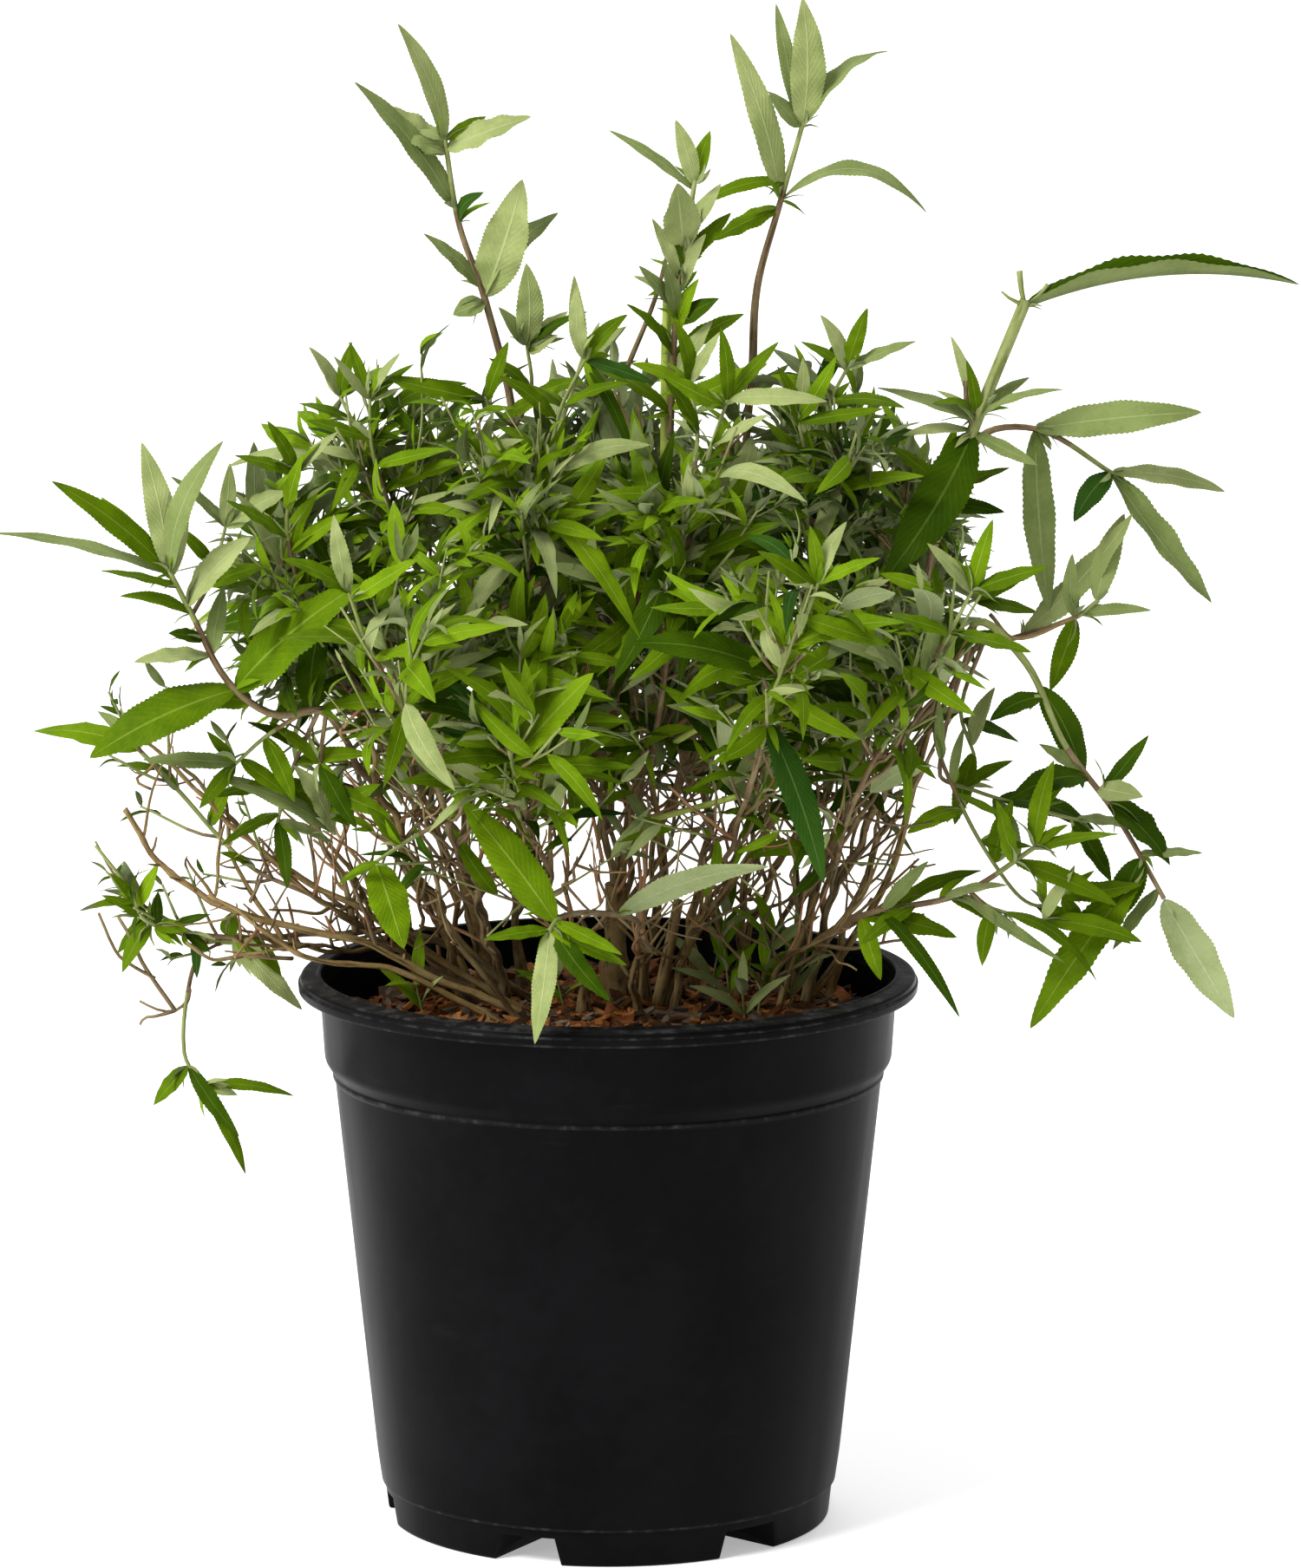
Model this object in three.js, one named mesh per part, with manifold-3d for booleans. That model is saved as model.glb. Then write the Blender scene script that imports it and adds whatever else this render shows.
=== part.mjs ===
// A leafy butterfly bush, many stems from one root, in a round nursery pot of the three-gallon class.
// Millimetres, +Z up. The origin is the middle of the pot's flat underside.
//
// Each shoot has a bare woody limb, which stands on the potting mix or on a forked stem, and a leafy
// part that grows on from the limb's tip. The leafy part is one mass: a green stem, twigs in crossed
// pairs that a seeded rule grows from it, and leaves fused to both.

import * as THREE from 'three';
import { mergeVertices } from 'three/addons/utils/BufferGeometryUtils.js';
import Module from 'manifold-3d';

const wasm = await Module();
wasm.setup();

// ---------------------------------------------------------------- driving dimensions

const GAP = 0.3; // between two pieces that meet
const CLEAR = 0.4; // least room between a twig or leaf and any piece of another node

const POT = {
  sides: 36,
  height: 252,
  wall: 1.6,
  edge: 1.5, // rounding at the rim and the foot
  rimRadius: 141,
  rimInner: 129.6,
  bandTop: [131.2, 245], // radius and height: the band under the rim
  bandFoot: [129.3, 213.5],
  stepFoot: [125.3, 207.5],
  shoulder: [105.9, 26],
  baseLine: [104.6, 17.5],
  footRadius: 101.2,
  floor: 13.5,
  floorRadius: 99,
};

// The channels that let water out under the pot.
const CHANNEL = { count: 6, first: -51, width: 19, height: 11, start: 38, end: 114, slope: 3.4 };

const MIX = { top: 232, edge: 226.5, flatRadius: 112 };

const LIMB = { sides: 6, stepLength: 34, flare: 0.55, flareHeight: 9, rise: 0.6 };
const STEM = { sides: 4, stepLength: 30, tipRadius: 1.1 };
const SIDE_SHOOT = { rootRadius: 1.15, tipRadius: 0.9 };
const TWIG = { sides: 3, steps: 2, share: 0.66, tipRadius: 0.9, lift: 0.18 };

// A leaf's sections and bends, as shares of its length where no unit is given.
const LEAF = {
  petiole: 0.26, // mm, half its width
  bladeStart: 0.22,
  widest: 0.42,
  keel: 1.3, // mm, under the midrib at the widest
  arch: 0.07,
  droop: 0.06,
  tilt: 0.9, // how far the face turns outward from facing up
};

// The rule that fills a mass with pairs of twigs, each pair across the one before it. A pair of
// values holds at the foot and at the tip of the stem. Angles are in degrees.
const RULE = {
  firstNode: 0.06,
  withinStep: 0.35,
  jitter: 34,
  ownTurn: 25, // from one shoot to the next
  reach: [1, 0.62], // of the mass's spread
  splay: [58, 40],
  lengths: [0.75, 1.05], // the shortest and the longest twig, of that reach
};

// What grows on a twig: pairs of leaves, each pair smaller than the one before, and one at its end.
const PAIRS = { at: [0.5, 0.8], stagger: 1.7, turn: 45, jitter: 50, splay: 48, shrink: 0.15 };
const END_LEAF = { at: 0.94, turn: 200, splay: 14, share: 0.85 };

// The young leaves round a stem's tip.
const TUFT = { seed: 900, at: 0.98, leaves: 4, bareLeaves: 2, turn: 40, splay: 30, share: 0.8 };

// How large the rule's leaves are. One that finds no room is tried once more at its smaller size.
const RULED = { length: 60, range: [0.85, 1.15], width: 0.3, wander: 16, sag: 0.12, smaller: 0.7 };

// ---------------------------------------------------------------- the plant

// Short thick stems that fork: the foot on the mix, the fork, and the radius at each.
const FORKED = [
  { name: 'stem_left', foot: [-54, 52], tip: [-66, 40, 292], girth: [4.8, 4.6] },
  { name: 'stem_centre', foot: [2, 33], tip: [4, 24, 288], girth: [5.2, 5.0] },
];

// foot: where the limb stands on the mix, or the forked stem that carries it. joint: where the bare
// limb ends and the leaves begin. to: the points that the leafy stem runs through. girth: the radius
// at the foot and at the joint. nodes and spread: how many pairs of twigs the rule grows, and how far.
// leaves: [place along the stem 0..1, lean from upright towards +X, angle towards the front,
// length, width]. bare: the rule adds twigs without leaves. side: one more stem of the same mass.
const SHOOTS = [
  {
    name: 'upper_left', foot: [-42, 42], joint: [-42, -8, 500], girth: [2.6, 1.9],
    to: [[-53, -18, 557], [-65, -26, 595], [-74, -30, 636]],
    leaves: [
      [0.98, -20, 10, 50, 11], [0.72, -35, 15, 77, 13], [0.9, -55, -20, 36, 12], [0.97, 65, -30, 26, 8],
      [0.93, 65, 15, 39, 14], [0.69, 62, 40, 25, 9], [0.46, -45, 20, 38, 8], [0.37, 15, 10, 57, 18],
      [0.5, 50, -10, 38, 11], [0.4, -115, 15, 16, 10], [0.22, 10, -15, 42, 12], [0.25, 62, 10, 40, 9],
    ],
  },
  {
    name: 'top_centre', foot: [16, 40], joint: [64, 10, 512], girth: [2.8, 2.1],
    to: [[67, 10, 562], [77, 10, 600], [88, 8, 639]],
    leaves: [
      [0.98, 0, 5, 56, 15], [0.95, -16, -15, 55, 8], [0.93, 45, -20, 46, 8], [0.97, -65, 15, 34, 9],
      [0.69, -15, 5, 76, 12], [0.69, 62, 10, 68, 11], [0.7, -88, 20, 44, 8], [0.66, -112, -10, 34, 9],
    ],
  },
  {
    name: 'top_middle', foot: [16, 22], joint: [28, -15, 498], girth: [2.4, 1.8],
    to: [[32, -20, 555], [41, -25, 598]],
    leaves: [
      [0.98, -20, 10, 42, 9], [0.97, 20, -10, 36, 9], [0.9, -52, 0, 46, 7], [0.72, -8, 30, 38, 14],
      [0.5, 72, 15, 24, 10], [0.32, -40, 20, 34, 9], [0.3, 58, -20, 40, 10], [0.12, 62, 30, 56, 13],
      [0.1, -60, 10, 44, 10],
    ],
  },
  {
    name: 'right_cut', foot: [84, 40], joint: [154, -10, 468], girth: [2.7, 2.3],
    to: [[164, -12, 505], [187, -12, 562]],
    leaves: [
      [0.97, 70, 5, 134, 13], [0.28, -145, 25, 76, 22], [0.36, -25, -20, 36, 8], [0.38, -68, 15, 50, 9],
      [0.36, 70, 15, 41, 8], [0.42, 50, -25, 34, 8], [0.2, 108, 20, 33, 9],
    ],
  },
  {
    name: 'right_branch', foot: [92, 56], joint: [166, 14, 492], girth: [2.4, 1.7],
    to: [[193, 14, 498], [226, 16, 481]],
    leaves: [
      [0.39, 85, 10, 76, 16], [0.4, 179, 0, 84, 15], [0.98, 145, -5, 76, 15], [0.9, 95, -20, 46, 11],
      [0.98, -145, 20, 30, 10],
    ],
  },
  {
    name: 'right_mid', foot: [100, 34], joint: [166, 14, 398], girth: [2.3, 1.6],
    to: [[185, 12, 404], [212, 8, 413]],
    leaves: [
      [0.87, 30, 5, 60, 16], [0.97, 20, -30, 44, 9], [0.9, -5, 30, 26, 8], [0.95, 75, 15, 36, 8],
      [0.97, -160, 10, 34, 10],
    ],
  },
  {
    name: 'right_arching', foot: [88, 14], joint: [164, -20, 414], girth: [2.6, 1.9],
    to: [[187, -25, 399], [205, -30, 362], [228, -35, 331], [250, -40, 293]],
    leaves: [
      [0.28, -115, 20, 32, 10], [0.28, 155, -10, 52, 14], [0.13, -120, -20, 31, 8], [0.6, 98, 30, 24, 9],
      [0.47, 140, -25, 34, 10], [0.6, 128, 5, 45, 18], [0.87, 90, -15, 33, 8], [0.58, -95, 25, 38, 10],
      [0.9, -145, 10, 90, 24], [0.97, 150, 0, 64, 20],
    ],
  },
  {
    name: 'right_low', foot: [66, 6], joint: [110, -44, 284], girth: [2.2, 1.6],
    to: [[158, -50, 297], [192, -55, 320]],
    leaves: [
      [0.85, 112, 10, 50, 11], [0.98, 10, -10, 40, 11], [0.97, 80, 15, 40, 11], [0.84, -15, 20, 33, 10],
      [0.61, 15, -20, 33, 10], [0.26, 100, 30, 38, 15], [0.2, 70, -20, 46, 9], [0.45, 115, 15, 42, 9],
      [0.53, 128, -15, 54, 9], [0.15, 140, 20, 54, 10], [0.12, 165, -10, 34, 11],
    ],
  },
  {
    name: 'left_big', foot: [-66, 30], joint: [-124, -58, 380], girth: [2.6, 2.0],
    to: [[-154, -66, 384], [-171, -72, 405], [-187, -76, 433], [-196, -80, 452]],
    leaves: [
      [0.93, -75, 5, 84, 10], [0.98, -50, 15, 61, 12], [0.98, -10, 5, 58, 12], [0.96, -38, -25, 54, 8],
      [0.9, -85, 20, 34, 8], [0.84, -45, -30, 42, 9], [0.7, 40, 15, 45, 16], [0.4, 45, 10, 76, 24],
      [0.42, -112, 10, 69, 24], [0.26, -82, -25, 48, 15], [0.06, 90, 20, 55, 12], [0.08, 15, -20, 43, 15],
      [0.73, -65, -20, 30, 9], [0.6, -95, 15, 32, 11],
    ],
    side: {
      at: 0.04,
      to: [[-132, -52, 352], [-150, -48, 336], [-172, -42, 344]],
      leaves: [
        [0.3, 150, 15, 46, 12], [0.36, -25, 20, 34, 15], [0.55, 165, -10, 40, 12], [0.62, -62, 10, 60, 12],
        [0.97, -92, 10, 38, 11], [0.95, -140, -15, 34, 10],
      ],
    },
  },
  {
    name: 'low_left', foot: [-78, 42], joint: [-130, 2, 284], girth: [1.9, 1.3], bare: true,
    to: [[-163, 0, 301], [-197, 0, 338], [-215, 0, 357]],
    nodes: 2, spread: 62,
    leaves: [[0.5, 25, 10, 22, 7], [0.64, -45, -10, 20, 6], [0.8, -85, 10, 19, 5], [0.3, -60, 20, 20, 6]],
  },
  {
    name: 'low_left_hanging', foot: [-76, 58], joint: [-147, 8, 266], girth: [1.9, 1.3], bare: true,
    to: [[-179, 5, 265], [-215, 5, 283]],
    nodes: 2, spread: 50,
    leaves: [[0.34, 135, 15, 43, 11], [0.9, -140, 10, 25, 8]],
    side: {
      at: 0.55,
      to: [[-190, -4, 250], [-193, -8, 216], [-184, -10, 200]],
      leaves: [[0.78, -140, 10, 24, 9], [0.81, 145, 15, 39, 9], [0.97, 95, 0, 41, 8], [0.97, 155, 0, 51, 8]],
    },
  },
  {
    name: 'front_rim', foot: [12, 6], joint: [14, -84, 290], girth: [2.0, 1.5],
    to: [[-4, -112, 300], [-20, -132, 302], [-25, -140, 297]],
    leaves: [
      [0.2, 70, 10, 72, 13], [0.97, -95, 15, 30, 8], [0.97, -172, 14, 50, 11], [0.9, 140, 20, 42, 10],
      [0.97, 115, 0, 37, 9], [0.8, 108, 40, 40, 9], [0.6, -40, -10, 62, 19],
    ],
  },
  {
    name: 'front_left', foot: [-48, 26], joint: [-70, -72, 334], girth: [2.5, 1.8],
    to: [[-92, -144, 408]], nodes: 3, spread: 78,
    leaves: [[0.2, 165, 20, 46, 19]],
  },
  {
    name: 'front_centre', foot: [-10, 4], joint: [-32, -84, 326], girth: [2.4, 1.7],
    to: [[-42, -146, 378]], nodes: 3, spread: 70,
    leaves: [[0.9, 42, 10, 54, 19], [0.85, 88, 20, 56, 12], [0.9, -88, 20, 36, 10]],
  },
  {
    name: 'front_right', foot: [30, 12], joint: [62, -80, 346], girth: [2.4, 1.7],
    to: [[78, -146, 424]], nodes: 3, spread: 76,
    leaves: [[0.8, -75, 15, 69, 17], [0.97, 75, 10, 54, 15], [0.5, 160, 15, 75, 15]],
  },
  {
    name: 'side_right', foot: [78, 22], joint: [112, -62, 346], girth: [2.3, 1.6],
    to: [[140, -104, 406]], nodes: 3, spread: 66, leaves: [],
  },
  {
    name: 'mid_left', foot: 'stem_left', joint: [-100, -20, 366], girth: [2.1, 1.7],
    to: [[-146, -44, 446]], nodes: 4, spread: 70,
    leaves: [[0.97, -30, 10, 40, 9], [0.97, 25, 15, 40, 10]],
  },
  {
    name: 'high_left', foot: 'stem_left', joint: [-74, -20, 406], girth: [2.1, 1.7],
    to: [[-104, -44, 486]], nodes: 3, spread: 74, leaves: [[0.9, 70, 15, 50, 11]],
  },
  {
    name: 'high_mid_left', foot: 'stem_centre', joint: [-26, -44, 384], girth: [2.1, 1.7],
    to: [[-38, -92, 480]], nodes: 4, spread: 76, leaves: [],
  },
  {
    name: 'high_mid', foot: 'stem_centre', joint: [22, -46, 372], girth: [2.1, 1.7],
    to: [[34, -98, 466]], nodes: 4, spread: 76, leaves: [[0.85, 65, 20, 52, 12]],
  },
  {
    name: 'high_right', foot: [58, 34], joint: [84, -16, 406], girth: [2.4, 1.7],
    to: [[104, -42, 486]], nodes: 4, spread: 74, leaves: [[0.9, 80, 10, 40, 9]],
  },
  {
    name: 'mid_right', foot: [72, 52], joint: [112, 16, 376], girth: [2.4, 1.7],
    to: [[138, 36, 452]], nodes: 4, spread: 66, leaves: [],
  },
  {
    name: 'back_left', foot: [-66, 68], joint: [-96, 74, 360], girth: [2.4, 1.7],
    to: [[-142, 98, 414]], nodes: 3, spread: 76, leaves: [],
  },
  {
    name: 'back_mid_left', foot: [-40, 70], joint: [-46, 82, 368], girth: [2.5, 1.8],
    to: [[-70, 126, 450]], nodes: 3, spread: 80, leaves: [],
  },
  {
    name: 'back_mid', foot: [4, 64], joint: [12, 104, 356], girth: [2.4, 1.7],
    to: [[16, 172, 420]], nodes: 3, spread: 80, leaves: [],
  },
  {
    name: 'back_mid_right', foot: [38, 62], joint: [52, 78, 368], girth: [2.5, 1.8],
    to: [[74, 120, 448]], nodes: 3, spread: 80, leaves: [],
  },
  {
    name: 'back_right', foot: [62, 72], joint: [104, 82, 356], girth: [2.4, 1.7],
    to: [[146, 114, 414]], nodes: 3, spread: 76, leaves: [],
  },
  {
    name: 'top_back', foot: 'stem_centre', joint: [0, 30, 392], girth: [2.1, 1.7],
    to: [[-6, 46, 486]], nodes: 4, spread: 76, leaves: [],
  },
];

// ---------------------------------------------------------------- finishes

const finish = (color, roughness) => new THREE.MeshStandardMaterial({ color, roughness, metalness: 0 });
const potPlastic = () => finish(0x1b1c1e, 0.42);
const barkMulch = () => finish(0x6a3a22, 0.95);
const brownBark = () => finish(0x7c6148, 0.85);
const greenLeaf = () => finish(0x4c7a28, 0.6);

// ---------------------------------------------------------------- solids

const vector = (p) => new THREE.Vector3(...p);
const between = ([low, high], share) => low + (high - low) * share;
const UP = new THREE.Vector3(0, 0, 1);
const FRONT = new THREE.Vector3(0, -1, 0);

// A closed three.js geometry as a manifold-3d solid.
function solidOf(geometry) {
  const bare = new THREE.BufferGeometry();
  bare.setAttribute('position', geometry.getAttribute('position'));
  bare.setIndex(geometry.getIndex());
  const merged = mergeVertices(bare, 1e-3);
  return new wasm.Manifold(
    new wasm.Mesh({
      numProp: 3,
      vertProperties: new Float32Array(merged.attributes.position.array),
      triVerts: new Uint32Array(merged.index.array),
    }),
  );
}

// A solid as a three.js geometry.
function geometryOf(solid) {
  const { vertProperties, triVerts } = solid.getMesh();
  const geometry = new THREE.BufferGeometry();
  geometry.setAttribute('position', new THREE.BufferAttribute(vertProperties, 3));
  geometry.setIndex(new THREE.BufferAttribute(triVerts, 1));
  return geometry;
}

// A closed prism of some sides and steps, each vertex put where place(t, u, v) says: t runs from the
// foot to the far end, and u, v lie on the unit circle, or at its middle.
function shapedPrism(sides, steps, place, pointed = false) {
  const geometry = new THREE.CylinderGeometry(pointed ? 0 : 1, 1, 1, sides, steps);
  const at = geometry.getAttribute('position');
  for (let i = 0; i < at.count; i++) {
    const t = at.getY(i) + 0.5;
    const wide = pointed && t < 1 && Math.hypot(at.getX(i), at.getZ(i)) > 1e-6 ? 1 / (1 - t) : 1;
    const point = place(t, at.getZ(i) * wide, at.getX(i) * wide);
    at.setXYZ(i, point.x, point.y, point.z);
  }
  return solidOf(geometry);
}

// ---------------------------------------------------------------- curves

// A smooth curve through given points, with a tangent at each as long as the stretch it bends.
class GrowthCurve extends THREE.Curve {
  constructor(points, startTangent) {
    super();
    this.points = points;
    this.tangents = points.map((p, i) => {
      const before = points[Math.max(i - 1, 0)];
      const after = points[Math.min(i + 1, points.length - 1)];
      return new THREE.Vector3().subVectors(after, before).normalize();
    });
    if (startTangent) this.tangents[0] = startTangent.clone();
  }

  getPoint(t, target = new THREE.Vector3()) {
    const spans = this.points.length - 1;
    const i = Math.min(Math.floor(t * spans), spans - 1);
    const s = t * spans - i;
    const [a, b] = [this.points[i], this.points[i + 1]];
    const reach = a.distanceTo(b);
    return target
      .set(0, 0, 0)
      .addScaledVector(a, 2 * s ** 3 - 3 * s ** 2 + 1)
      .addScaledVector(this.tangents[i], reach * (s ** 3 - 2 * s ** 2 + s))
      .addScaledVector(b, 3 * s ** 2 - 2 * s ** 3)
      .addScaledVector(this.tangents[i + 1], reach * (s ** 3 - s ** 2));
  }

  getTangent(t, target = new THREE.Vector3()) {
    const step = 1e-3;
    const ahead = this.getPoint(Math.min(t + step, 1));
    return target.subVectors(ahead, this.getPoint(Math.max(t - step, 0))).normalize();
  }
}

// One stretch of a curve, from the share `from` to the share `to` of its run.
class Stretch extends THREE.Curve {
  constructor(curve, from, to) {
    super();
    Object.assign(this, { curve, from, to });
  }

  getPoint(t, target = new THREE.Vector3()) {
    return this.curve.getPoint(this.from + (this.to - this.from) * t, target);
  }

  getTangent(t, target = new THREE.Vector3()) {
    return this.curve.getTangent(this.from + (this.to - this.from) * t, target);
  }
}

// A tapering tube along a curve. Its foot is cut square to footNormal, where that is given.
function taperedTube(curve, sides, steps, radiusAt, footNormal = curve.getTangent(0)) {
  const side = [];
  for (let i = 0; i <= steps; i++) {
    const tangent = i === 0 ? footNormal : curve.getTangent(i / steps);
    const before = i ? side[i - 1] : new THREE.Vector3(1, 0, 0);
    side.push(before.clone().addScaledVector(tangent, -before.dot(tangent)).normalize());
  }
  return shapedPrism(sides, steps, (t, u, v) => {
    const i = Math.round(t * steps);
    const tangent = i === 0 ? footNormal : curve.getTangent(t);
    const across = new THREE.Vector3().crossVectors(tangent, side[i]);
    const radius = radiusAt(t);
    return curve.getPoint(t).addScaledVector(side[i], u * radius).addScaledVector(across, v * radius);
  });
}

// ---------------------------------------------------------------- pot and potting mix

const ring = (radius, height) => new THREE.Vector2(radius, height);

// A profile turned about the pot's upright axis.
const turned = (profile) => solidOf(new THREE.LatheGeometry(profile, POT.sides).rotateX(Math.PI / 2));

function potSolid() {
  const [bandR, bandZ] = POT.bandTop;
  const [footR, footZ] = POT.bandFoot;
  const [stepR, stepZ] = POT.stepFoot;
  const [shoulderR, shoulderZ] = POT.shoulder;
  const [baseR, baseZ] = POT.baseLine;
  const { edge } = POT;
  const outside = [
    ring(0, 0), ring(POT.footRadius - edge, 0), ring(POT.footRadius, edge), ring(baseR - edge, baseZ - edge),
    ring(baseR, baseZ), ring(shoulderR, shoulderZ), ring(stepR, stepZ), ring(footR, footZ),
    ring(bandR, bandZ), ring(POT.rimRadius - edge, bandZ), ring(POT.rimRadius, bandZ + edge),
    ring(POT.rimRadius, POT.height - edge), ring(POT.rimRadius - edge, POT.height),
  ];
  const inside = [
    ring(POT.rimInner + edge, POT.height), ring(POT.rimInner, POT.height - edge),
    ring(POT.rimInner, bandZ), ring(footR - POT.wall, footZ), ring(stepR - POT.wall, stepZ),
    ring(shoulderR - POT.wall, shoulderZ), ring(POT.floorRadius, POT.floor), ring(0, POT.floor),
  ];
  let pot = turned([...outside, ...inside]);
  for (let i = 0; i < CHANNEL.count; i++) pot = pot.subtract(drainChannel(i));
  return pot;
}

// A wedge from the pad in the middle out through the wall. Its sides slope in towards its roof.
function drainChannel(index) {
  const middle = THREE.MathUtils.degToRad(CHANNEL.first + (index * 360) / CHANNEL.count);
  const half = THREE.MathUtils.degToRad(CHANNEL.width / 2);
  const corner = (radius, angle) => ring(radius * Math.cos(angle), radius * Math.sin(angle));
  const outline = new THREE.Shape([
    corner(CHANNEL.start, middle - half), corner(CHANNEL.end, middle - half),
    corner(CHANNEL.end, middle + half), corner(CHANNEL.start, middle + half),
  ]);
  const below = 1;
  const wedge = new THREE.ExtrudeGeometry(outline, { depth: CHANNEL.height + below, bevelEnabled: false });
  wedge.translate(0, 0, -below);
  const at = wedge.getAttribute('position');
  const sideways = new THREE.Vector3(-Math.sin(middle), Math.cos(middle), 0);
  for (let i = 0; i < at.count; i++) {
    if (at.getZ(i) < 0) continue;
    const point = new THREE.Vector3().fromBufferAttribute(at, i);
    point.addScaledVector(sideways, -Math.sign(point.dot(sideways)) * CHANNEL.slope);
    at.setXYZ(i, point.x, point.y, point.z);
  }
  return solidOf(wedge);
}

function mixSolid() {
  const [footR, footZ] = POT.bandFoot;
  const [stepR, stepZ] = POT.stepFoot;
  const [shoulderR, shoulderZ] = POT.shoulder;
  const room = 0.35; // measured level; the walls slope, so the gap square to them is GAP
  const inset = POT.wall + room;
  const alongBand = (MIX.edge - footZ) / (POT.bandTop[1] - footZ);
  const edgeR = between([footR - inset, POT.rimInner - room], alongBand);
  return turned([
    ring(0, POT.floor + GAP), ring(POT.floorRadius - room, POT.floor + GAP),
    ring(shoulderR - inset, shoulderZ), ring(stepR - inset, stepZ), ring(footR - inset, footZ),
    ring(edgeR, MIX.edge), ring(MIX.flatRadius, MIX.top), ring(0, MIX.top),
  ]);
}

// ---------------------------------------------------------------- limbs

const stepsFor = (curve, stepLength) => Math.max(2, Math.round(curve.getLength() / stepLength));

// A limb that stands on the mix: flared at the root, tapering to its tip.
function standingLimb(curve, [footRadius, tipRadius]) {
  const length = curve.getLength();
  const steps = stepsFor(curve, LIMB.stepLength);
  const radiusAt = (t) => {
    const flare = 1 + LIMB.flare * Math.exp((-t * length) / LIMB.flareHeight);
    return between([footRadius, tipRadius], t) * flare;
  };
  return taperedTube(curve, LIMB.sides, steps, radiusAt, UP);
}

// A limb that stands on a fork, cut square to the forked stem.
function boughLimb(curve, girth, forkTangent) {
  const steps = stepsFor(curve, LIMB.stepLength);
  return taperedTube(curve, LIMB.sides, steps, (t) => between(girth, t), forkTangent);
}

// A limb rises a little before it leans over.
function risingTangent(from, to) {
  return new THREE.Vector3().subVectors(to, from).normalize().addScaledVector(UP, LIMB.rise).normalize();
}

const footPoint = ([x, y]) => new THREE.Vector3(x, y, MIX.top + GAP);
const fullTurn = (angle) => (angle + 2 * Math.PI) % (2 * Math.PI);

// A forked stem's curve, and where each of its boughs starts: 0.3 mm over the fork, side by side.
class ForkedStem {
  constructor({ name, foot, tip, girth }) {
    const start = footPoint(foot);
    const end = vector(tip);
    const curve = new GrowthCurve([start, end], risingTangent(start, end));
    Object.assign(this, { name, girth, end, curve });
    this.tangent = this.curve.getTangent(1);
    this.boughs = SHOOTS.filter((shoot) => shoot.foot === name);
  }

  // The way a bough leans, as an angle about +Z.
  bearing(shoot) {
    return Math.atan2(shoot.joint[1] - this.end.y, shoot.joint[0] - this.end.x);
  }

  // The boughs stand on a ring, each on the side that it leans to.
  boughStart(shoot) {
    const ringRadius = this.girth[1] - shoot.girth[0] - 0.1;
    const first = this.bearing(this.boughs[0]);
    const past = (bough) => fullTurn(this.bearing(bough) - first);
    const order = [...this.boughs].sort((a, b) => past(a) - past(b));
    const angle = first + (2 * Math.PI * order.indexOf(shoot)) / order.length;
    const out = new THREE.Vector3(Math.cos(angle), Math.sin(angle), 0);
    out.addScaledVector(this.tangent, -out.dot(this.tangent)).normalize();
    return this.end.clone().addScaledVector(this.tangent, GAP).addScaledVector(out, ringRadius);
  }
}

// ---------------------------------------------------------------- the growing rule

// Evenly spread numbers from 0 to 1, the same for the same seed.
function seeded(seed) {
  let state = seed >>> 0;
  return () => {
    state = (state + 0x6d2b79f5) >>> 0;
    let t = Math.imul(state ^ (state >>> 15), 1 | state);
    t = (t + Math.imul(t ^ (t >>> 7), 61 | t)) ^ t;
    return ((t ^ (t >>> 14)) >>> 0) / 4294967296;
  };
}

// A direction from its lean off upright towards +X and its angle towards the front, in degrees.
function heading(lean, toward) {
  const a = THREE.MathUtils.degToRad(lean);
  const b = THREE.MathUtils.degToRad(toward);
  return new THREE.Vector3(Math.sin(a) * Math.cos(b), -Math.sin(b), Math.cos(a) * Math.cos(b));
}

// A direction at some angle off a tangent, turned about it from the level side.
function splayed(tangent, turnDegrees, splayDegrees) {
  const other = Math.abs(tangent.z) > 0.95 ? FRONT : UP;
  const level = new THREE.Vector3().crossVectors(tangent, other).normalize();
  const out = level.applyAxisAngle(tangent, THREE.MathUtils.degToRad(turnDegrees));
  const splay = THREE.MathUtils.degToRad(splayDegrees);
  return tangent.clone().multiplyScalar(Math.cos(splay)).addScaledVector(out, Math.sin(splay));
}

// A lance-shaped leaf with a keel under its midrib, its face turned up and towards some side. Its
// petiole starts inside what carries it. Cut short at the root end, it is the blade alone.
function leafSolid(root, direction, length, width, towards, bladeOnly = false) {
  const along = direction.clone().normalize();
  const face = UP.clone().addScaledVector(towards, LEAF.tilt);
  const normal = face.addScaledVector(along, -face.dot(along)).normalize();
  const across = new THREE.Vector3().crossVectors(normal, along);
  const sections = [
    { at: bladeOnly ? LEAF.bladeStart : 0, half: LEAF.petiole, keel: LEAF.petiole, rise: 0 },
    { at: LEAF.widest, half: width / 2, keel: LEAF.keel, rise: LEAF.arch * length },
    { at: 1, half: 0, keel: 0, rise: -LEAF.droop * length },
  ];
  return shapedPrism(3, 2, (t, u, v) => {
    const s = sections[Math.round(2 * t)];
    const inCentre = t === 0 && u === 0 && v === 0;
    const aside = (v / Math.sin(Math.PI / 3)) * s.half;
    const down = inCentre ? s.keel / 2 : ((u + 0.5) / 1.5) * s.keel;
    return root.clone().addScaledVector(along, s.at * length).addScaledVector(across, aside)
      .addScaledVector(normal, s.rise - down);
  }, true);
}

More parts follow.
